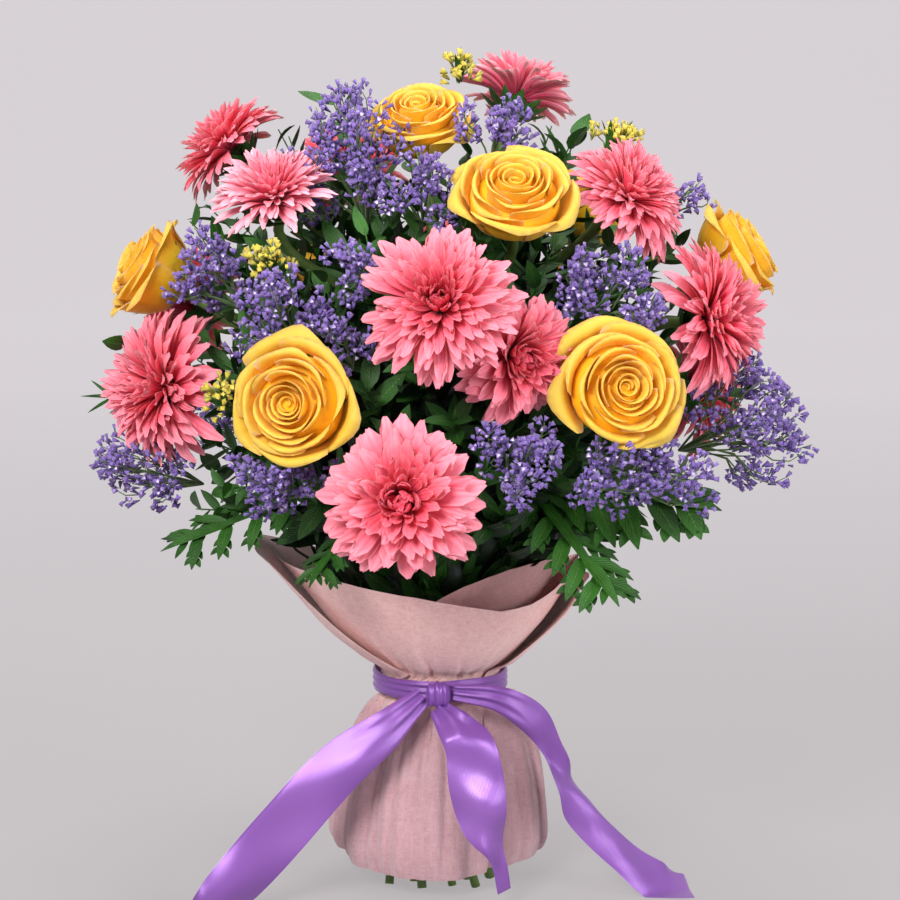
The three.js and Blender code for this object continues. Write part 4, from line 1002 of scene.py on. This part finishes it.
# Row: a crease's angle from the front, its half width, both in degrees, its depth, and whether it runs above
# (1) or below (0) the neck.
FRONT_CREASES = np.array([
    [-36, 2.2, 1.9, 1], [-30, 2, -1.3, 1], [-12, 1.7, 2, 1], [-7.5, 1.7, -1, 1], [13, 2.2, 1.2, 1],
    [36, 2, 2, 1], [47, 2.2, -1.6, 1], [-66, 2.2, -2.4, 0], [-54, 2.2, 1.8, 0], [-41, 2, -2.2, 0],
    [-30, 2, 1.6, 0], [-19, 1.8, -2.4, 0], [-3, 1.7, 1.2, 0], [6, 1.7, -1, 0], [17, 2, 1.6, 0],
    [26, 2, -2.2, 0], [48, 2.2, 1.8, 0], [59, 2, -2.2, 0],
])


def creases(degrees, v):
    """Narrow bell-shaped folds along lines of one angle: the table's at the front, and drawn ones, every
    three degrees or so, round the rest. They fade out towards the hem and the rim."""
    rng = np.random.default_rng(900)
    count = 74
    angles = np.linspace(-298, -76, count) + rng.uniform(-2, 2, count)
    widths = rng.uniform(1.7, 2.6, count)
    depths = rng.uniform(1.2, 2.6, count) * np.where(np.arange(count) % 4 < 2, 1, -1)
    rest = np.stack([angles, widths, depths, np.arange(count) % 2], axis=1)
    total = np.zeros(np.broadcast(degrees, v).shape)
    above = smooth((v - 0.6) / 0.08) * (1 - 0.75 * smooth((v - 0.66) / 0.34))
    below = 1.25 * smooth((0.5 - v) / 0.08) * (1 - 0.5 * smooth((0.4 - v) / 0.4))
    for angle, width, depth, upper in np.concatenate([FRONT_CREASES, rest]):
        total += depth * bell((degrees - angle) / width) * (above if upper else below)
    return total


def felt_sheet(reach, rim, lift, columns, rows, folded=0):
    """The flared form of revolution of FELT_FORM, between the sheet's two edges, a little drawn in on the
    right. Below the neck hang pleats with sharp valleys and fine gathers, above it run soft creases; both are
    deepest near the neck. A second sheet is lifted off the first, most along its own edges, and passes inside
    it below the neck. The rim's height follows its table. A share of the columns may be folded back inside at
    the right end; the fold widens towards the rim."""
    v = np.linspace(0, 1, rows)[:, None]
    u = np.linspace(0, 1, columns)[None] / (1 - folded)
    back = np.maximum(0, u - 1) * (1 - folded) / max(folded, 0.01)
    u = np.minimum(u, 1)
    fine = np.linspace(0, 1, 41)
    form = [np.interp(v, fine, column) for column in curve_through(FELT_FORM, 41).T]
    start, end = (np.interp(v, reach[:, 0], reach[:, i]) for i in (1, 2))
    degrees = start + (end - start) * u - (5 + 87 * smooth((v - 0.62) / 0.28)) * back
    a = np.radians(degrees)
    from_neck = np.maximum(np.maximum(FELT_NECK[0] - v, v - FELT_NECK[1]), 0)
    up = np.maximum(0, (v - FELT_NECK[1]) / (1 - FELT_NECK[1]))
    down = smooth((FELT_NECK[0] - v) / 0.14)
    raised = np.interp(degrees, rim[:, 0], rim[:, 1]) - FELT_FORM[-1, 2]
    inside = np.interp(degrees, FOLD_RIM[:, 0], FOLD_RIM[:, 1]) - FELT_FORM[-1, 2]
    raised = raised + (inside - raised) * smooth(back * 8)
    near = bell(from_neck / 0.12)

    def swing(n, phase, bend):
        """A wave, n times round, that leans as v rises and whose length varies twice round."""
        return np.sin(n * a + phase + bend * v + 0.5 * np.sin(2 * a + phase))

    def valley(n, phase, bend):
        """The same wave's size to the power 0.7, with a sharp valley wherever it changes sign."""
        return np.abs(swing(n, phase, bend)) ** 0.7

    pleats = down * (3.6 * valley(5.5, 0.4, 1.5) + 2.4 * valley(11.5, 2.0, -1.0) - 4)
    calm = 1 - np.exp(-u * 9) - np.exp(-(1 - u) * 9)
    pleats = calm * (pleats + down * (0.45 * swing(33, 0.0, 3.0) + 0.25 * swing(51, 1.0, -2.0)))
    gathers = near * (1.2 * valley(17, 0.0, 6.0) + 0.9 * swing(29, 2.0, 0.0) - 0.6)
    waves = smooth(up / 0.15) * (1.25 - up) * (1.4 * valley(5.5, 2.3, 0.6) - 0.8)
    tuck = -4.5 * bell((a + 0.1) / 0.03) * bell((v - 0.34) / 0.07)
    pinch = -3.5 * bell((a + 0.14) / 0.05) * bell((v - 0.645) / 0.05)
    edge = np.exp(-u * 12) + np.exp(-(1 - u) * 12)
    lifted = lift * (1 + 4 * np.minimum(from_neck, 0.3)) * (1 + 1.1 * edge * smooth(from_neck / 0.1))
    lifted = lifted * (1 - 1.8 * smooth((0.57 - v) / 0.06))
    lifted = lifted + 5 * lift * smooth((np.sin(a) - 0.55) / 0.4) * smooth((0.5 - v) / 0.1)
    inward = (1 - np.exp(-back * 22)) * (2.2 + 9 * up**1.5)
    right = np.maximum(0, np.sin(a))
    radius = form[1] * (1 - 0.1 * right * up**2 - 0.05 * right * down) + 1.1 * down * np.sin(7 * a + 1.1)
    folds = gathers + waves + pleats + calm * creases(degrees, v) + tuck + pinch
    turned = smooth(back * 8)
    radius = radius + lifted + 0.45 * raised * up**2 * (1 - turned) + folds * (1 - 0.7 * turned)
    radius = np.maximum(radius, 31.8) - inward + 1.6 * smooth((up - 0.94) / 0.06)
    hem = 7 * np.abs(np.sin(a)) ** 3 * np.maximum(0, 1 - v / 0.1)
    height = form[2] + raised * up**1.6 + hem
    surface = MM * np.stack([radius * np.sin(a) + form[3], -radius * np.cos(a), height], axis=-1)
    # The tone is painted shade on the part folded back inside, above the neck.
    return thin_sheets(surface[None], 0.9 * MM, marked(surface, 2 * u - 1, v), smooth(back * 6) * up**0.2)


front = felt_sheet(FRONT_REACH, FRONT_RIM, lift=0, columns=190, rows=54, folded=0.26)
front = finished("felt_front_sheet", front, FELT, ["felt_front"])
back = felt_sheet(BACK_REACH, BACK_RIM, lift=2.8, columns=180, rows=50)
back = finished("felt_back_sheet", back, FELT, ["felt_back"])


# Satin ribbon
RIBBON_WIDTH = 38 * MM
BAND_RADIUS = 39.6 * MM
BAND_HALF = 6.5 * MM
# Each station of a tail: its place in millimetres, the way of the ribbon's width, and the width's share.
TAILS = {
    "ribbon_tail_left": [
        [(-10.4, -47, 121.5), (-0.3, 0, 1), 0.34], [(-30, -62, 107), (-0.5, 0, 0.86), 0.6],
        [(-60, -70, 84), (-0.66, 0, 0.75), 0.8], [(-93, -78, 49), (-0.7, -0.1, 0.7), 0.88],
        [(-121, -86, 18), (-0.7, -0.3, 0.62), 0.9], [(-140, -94, 4), (-0.6, -0.7, 0.3), 0.92],
        [(-163, -102, 0.6), (-0.4, -0.9, 0), 0.94], [(-190, -108, 0.4), (-0.3, -0.95, 0), 0.94],
    ],
    "ribbon_tail_front": [
        [(-0.5, -48.8, 115.5), (1, 0, 0), 0.34], [(9, -58, 107), (1, 0, 0.1), 0.6],
        [(18, -66, 95), (1, 0, 0.2), 0.78], [(22, -72, 73), (1, 0, 0.15), 0.86],
        [(26, -75, 52), (1, 0.1, 0), 0.7], [(34, -73, 31), (0.9, 0.5, 0), 0.3],
        [(38, -70, 10), (0.8, 0.6, 0), 0.26],
    ],
    "ribbon_tail_right": [
        [(8.4, -47, 124.5), (0, 0, 1), 0.26], [(36, -51, 121), (0.3, 0, 1), 0.42],
        [(56, -46, 107), (0.7, 0, 0.7), 0.48], [(68, -42, 86), (0.8, 0.5, 0.3), 0.36],
        [(75, -42, 66), (0.3, 0.9, 0.1), 0.6], [(88, -42, 44), (0.5, 0.5, 0.7), 0.5],
        [(110, -41, 22), (0.4, 0.6, 0.7), 0.62], [(132, -39, 5), (0.5, 0.8, 0.3), 0.85],
        [(150, -36, 0.4), (0.6, 0.8, 0), 0.9],
    ],
}


def ribbon_strip(stations):
    """A strip along a smooth curve through its stations. Its width direction turns smoothly, it bows across,
    it is pleated where the knot gathers it, and long ripples run down it."""
    rows, columns = 90, 15
    at, way, share = (np.array(column, float) for column in zip(*stations))
    middle = curve_through(at * MM, rows)
    ahead = unit(np.gradient(middle, axis=0))
    side = curve_through(way, rows)
    side = unit(side - (side * ahead).sum(1, keepdims=True) * ahead)
    lift = np.cross(side, ahead)
    lift = lift * np.sign(lift[: rows // 2].mean(0) @ [0, -1, 0.3])
    half = RIBBON_WIDTH / 2 * curve_through(share[:, None], rows)
    t, x = grid_of(rows, columns)
    gathered = smooth(1 - t / 0.32)
    bow = 0.2 * half * (1 - x**2) * (1 - smooth((t - 0.7) / 0.2))
    bow = bow + 1.5 * MM * gathered * np.cos(2.6 * np.pi * x)
    ripple = np.sin(2 * np.pi * (1.9 * t + 0.3 * x)) + 0.6 * np.sin(2 * np.pi * (3.7 * t - 0.35 * x + 0.2))
    bow = bow + 1.9 * MM * ripple * smooth(t / 0.25) * smooth((1 - t) / 0.25)
    surface = middle[:, None] + side[:, None] * (half * x)[..., None] + lift[:, None] * bow[..., None]
    surface[..., 2] = np.maximum(surface[..., 2], 0.25 * MM)
    return thin_sheets(surface[None], 0.4 * MM, marked(surface, x, t), 0.0)


def ribbon_band():
    """A closed loop round the neck: its section is a flat ring whose outside is raised in three pleats that
    run together towards the knot at the front."""
    turn = whole_turn(180)[:, None]
    v = np.linspace(-1, 1, 15)
    near = bell(np.minimum(turn, 2 * np.pi - turn) / 0.35)
    half = BAND_HALF * (1 + 0.12 * np.sin(3 * turn + 1) - 0.15 * near)
    pleat = 0.55 * MM * np.cos(3.2 * np.pi * v + 0.6 * np.sin(2 * turn)) * (1 + 0.6 * near)
    outer, inner = BAND_RADIUS + 0.9 * MM + pleat, BAND_RADIUS - 0.4 * MM + 0 * pleat
    r = np.concatenate([outer, inner], axis=1)
    across = np.concatenate([v, v[::-1]])
    points = np.stack([r * np.sin(turn), -r * np.cos(turn), TIE_HEIGHT + half * across], axis=-1)
    quads = grid_quads(np.pad(np.arange(r.size).reshape(r.shape), (0, 1), "wrap"))[:, ::-1]
    mark = marked(points, 0.9 * across, turn / 6.3)
    return part_of(points.reshape(1, -1, 3), quads, mark, np.zeros(r.shape), np.zeros(r.shape, bool))


def ribbon_knot():
    """A pinched wrap of satin: a barrel lying across, with three soft folds that run over it."""
    centre, half = half_sizes("ribbon_knot")
    level = np.linspace(-0.985, 0.985, 44)[:, None]
    turn = whole_turn(48)
    folds = 1 + 0.12 * np.cos(3.1 * np.pi * level + 0.5 + 0.6 * np.sin(turn)) * (1 - level**4)
    ring = (1 - np.abs(level) ** 3) ** 0.4 * folds * 0.92
    points = np.stack([0.85 * level + 0 * turn, ring * np.cos(turn), 1.1 * ring * np.sin(turn)], axis=-1)
    return wound((centre + points * half)[None], 0.0)


finished("ribbon_band_satin", ribbon_band(), SATIN, ["ribbon_band"])
finished("ribbon_knot_satin", ribbon_knot(), SATIN, ["ribbon_knot"])
for node, stations in TAILS.items():
    tail = finished(node + "_satin", ribbon_strip(stations), SATIN, [node])


# Twine round the stems, inside the wrap
def string_paint():
    """Twine: fine slanted strands in two browns."""
    paint = Paint("twine")
    strands = paint.noise(700.0, 3.0, paint.place((1, 1, 2.5)))
    return paint.done(paint.blend(strands, "8C744A", "CDB68A"), strands * 0.2 + 0.75, strands, 0.4 * MM)


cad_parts["tie_string"].material_slots[0].material = string_paint()


# Floor, light and camera
def floor_paint():
    """A matt pale grey with the faintest cloudiness and an even glow, as a sweep lit from behind."""
    paint = Paint("studio_floor", Emission_Strength=1.0)
    coordinates = paint.node("ShaderNodeTexCoord", output="Object")
    depth = paint.node("ShaderNodeSeparateXYZ", inputs={0: coordinates}, output=1)
    further = (depth * 0.4 + (paint.noise(2.0, 2.0) - 0.5) * 0.1).clamp()
    paint.feed("Emission Color", paint.blend(further, "A9A5A7", "CAC5C9"))
    colour = paint.blend(paint.noise(3.0, 2.0), "52504F", "565453")
    return paint.done(colour, paint.noise(8.0, 2.0) * 0.1 + 0.7)


def backdrop():
    """A floor that curves up into a wall behind: a quarter circle between two straight runs."""
    front, wall, bend, top = -3.5, 2.2, 0.9, 3.6
    x = np.array([[-3.2], [3.2]])
    arc = np.linspace(0, np.pi / 2, 16)
    y = np.concatenate([[front], wall + bend * np.sin(arc), [wall + bend]])
    z = np.concatenate([[0], bend - bend * np.cos(arc), [top]])
    points = np.stack(np.broadcast_arrays(x, y, z), axis=-1)
    quads = grid_quads(np.arange(2 * len(y)).reshape(2, -1))[:, ::-1]
    mesh = bpy.data.meshes.new("studio_floor")
    mesh.from_pydata(points.reshape(-1, 3).tolist(), [], quads.tolist())
    mesh.polygons.foreach_set("use_smooth", np.ones(len(mesh.polygons), bool))
    mesh.materials.append(floor_paint())
    linked("studio_floor", mesh)


def light(name, place, target, size, power, colour):
    """A round soft light at a place, which looks at a target."""
    lamp = bpy.data.lights.new(name, "AREA")
    lamp.shape, lamp.size, lamp.energy, lamp.color = "DISK", size, power, colour
    thing = linked(name, lamp)
    thing.location = place
    aim(thing, place, target)


def aim(thing, place, target):
    """Turns a lamp or camera so that its -Z looks from place to target."""
    thing.rotation_euler = (Vector(target) - Vector(place)).to_track_quat("-Z", "Y").to_euler()


backdrop()
light("key", (-0.7, -1.6, 1.35), (0, 0, 0.28), size=0.8, power=47, colour=(1, 0.99, 0.97))
light("fill", (1.4, -1.1, 0.8), (0, 0, 0.28), size=1.0, power=21, colour=(0.98, 0.98, 1))
light("top", (0, 0.3, 1.9), (0, 0, 0.3), size=0.8, power=16, colour=(1, 1, 1))
world = bpy.data.worlds.new("studio")
bpy.context.scene.world = world
world.use_nodes = True
world.node_tree.nodes["Background"].inputs["Color"].default_value = rgb("DAD8DE")
world.node_tree.nodes["Background"].inputs["Strength"].default_value = 0.63

CAMERA_DISTANCE, CAMERA_ELEVATION, LENS = 1.6, np.radians(9), 106.7
TARGET = np.array([6, 0, 262]) * MM
camera = linked("camera", bpy.data.cameras.new("camera"))
camera.data.lens, camera.data.sensor_width = LENS, 36
backward = np.array([0, -np.cos(CAMERA_ELEVATION), np.sin(CAMERA_ELEVATION)])
camera.location = TARGET + CAMERA_DISTANCE * backward
aim(camera, camera.location, TARGET)
bpy.context.scene.camera = camera
bpy.context.scene.view_settings.view_transform = "Standard"
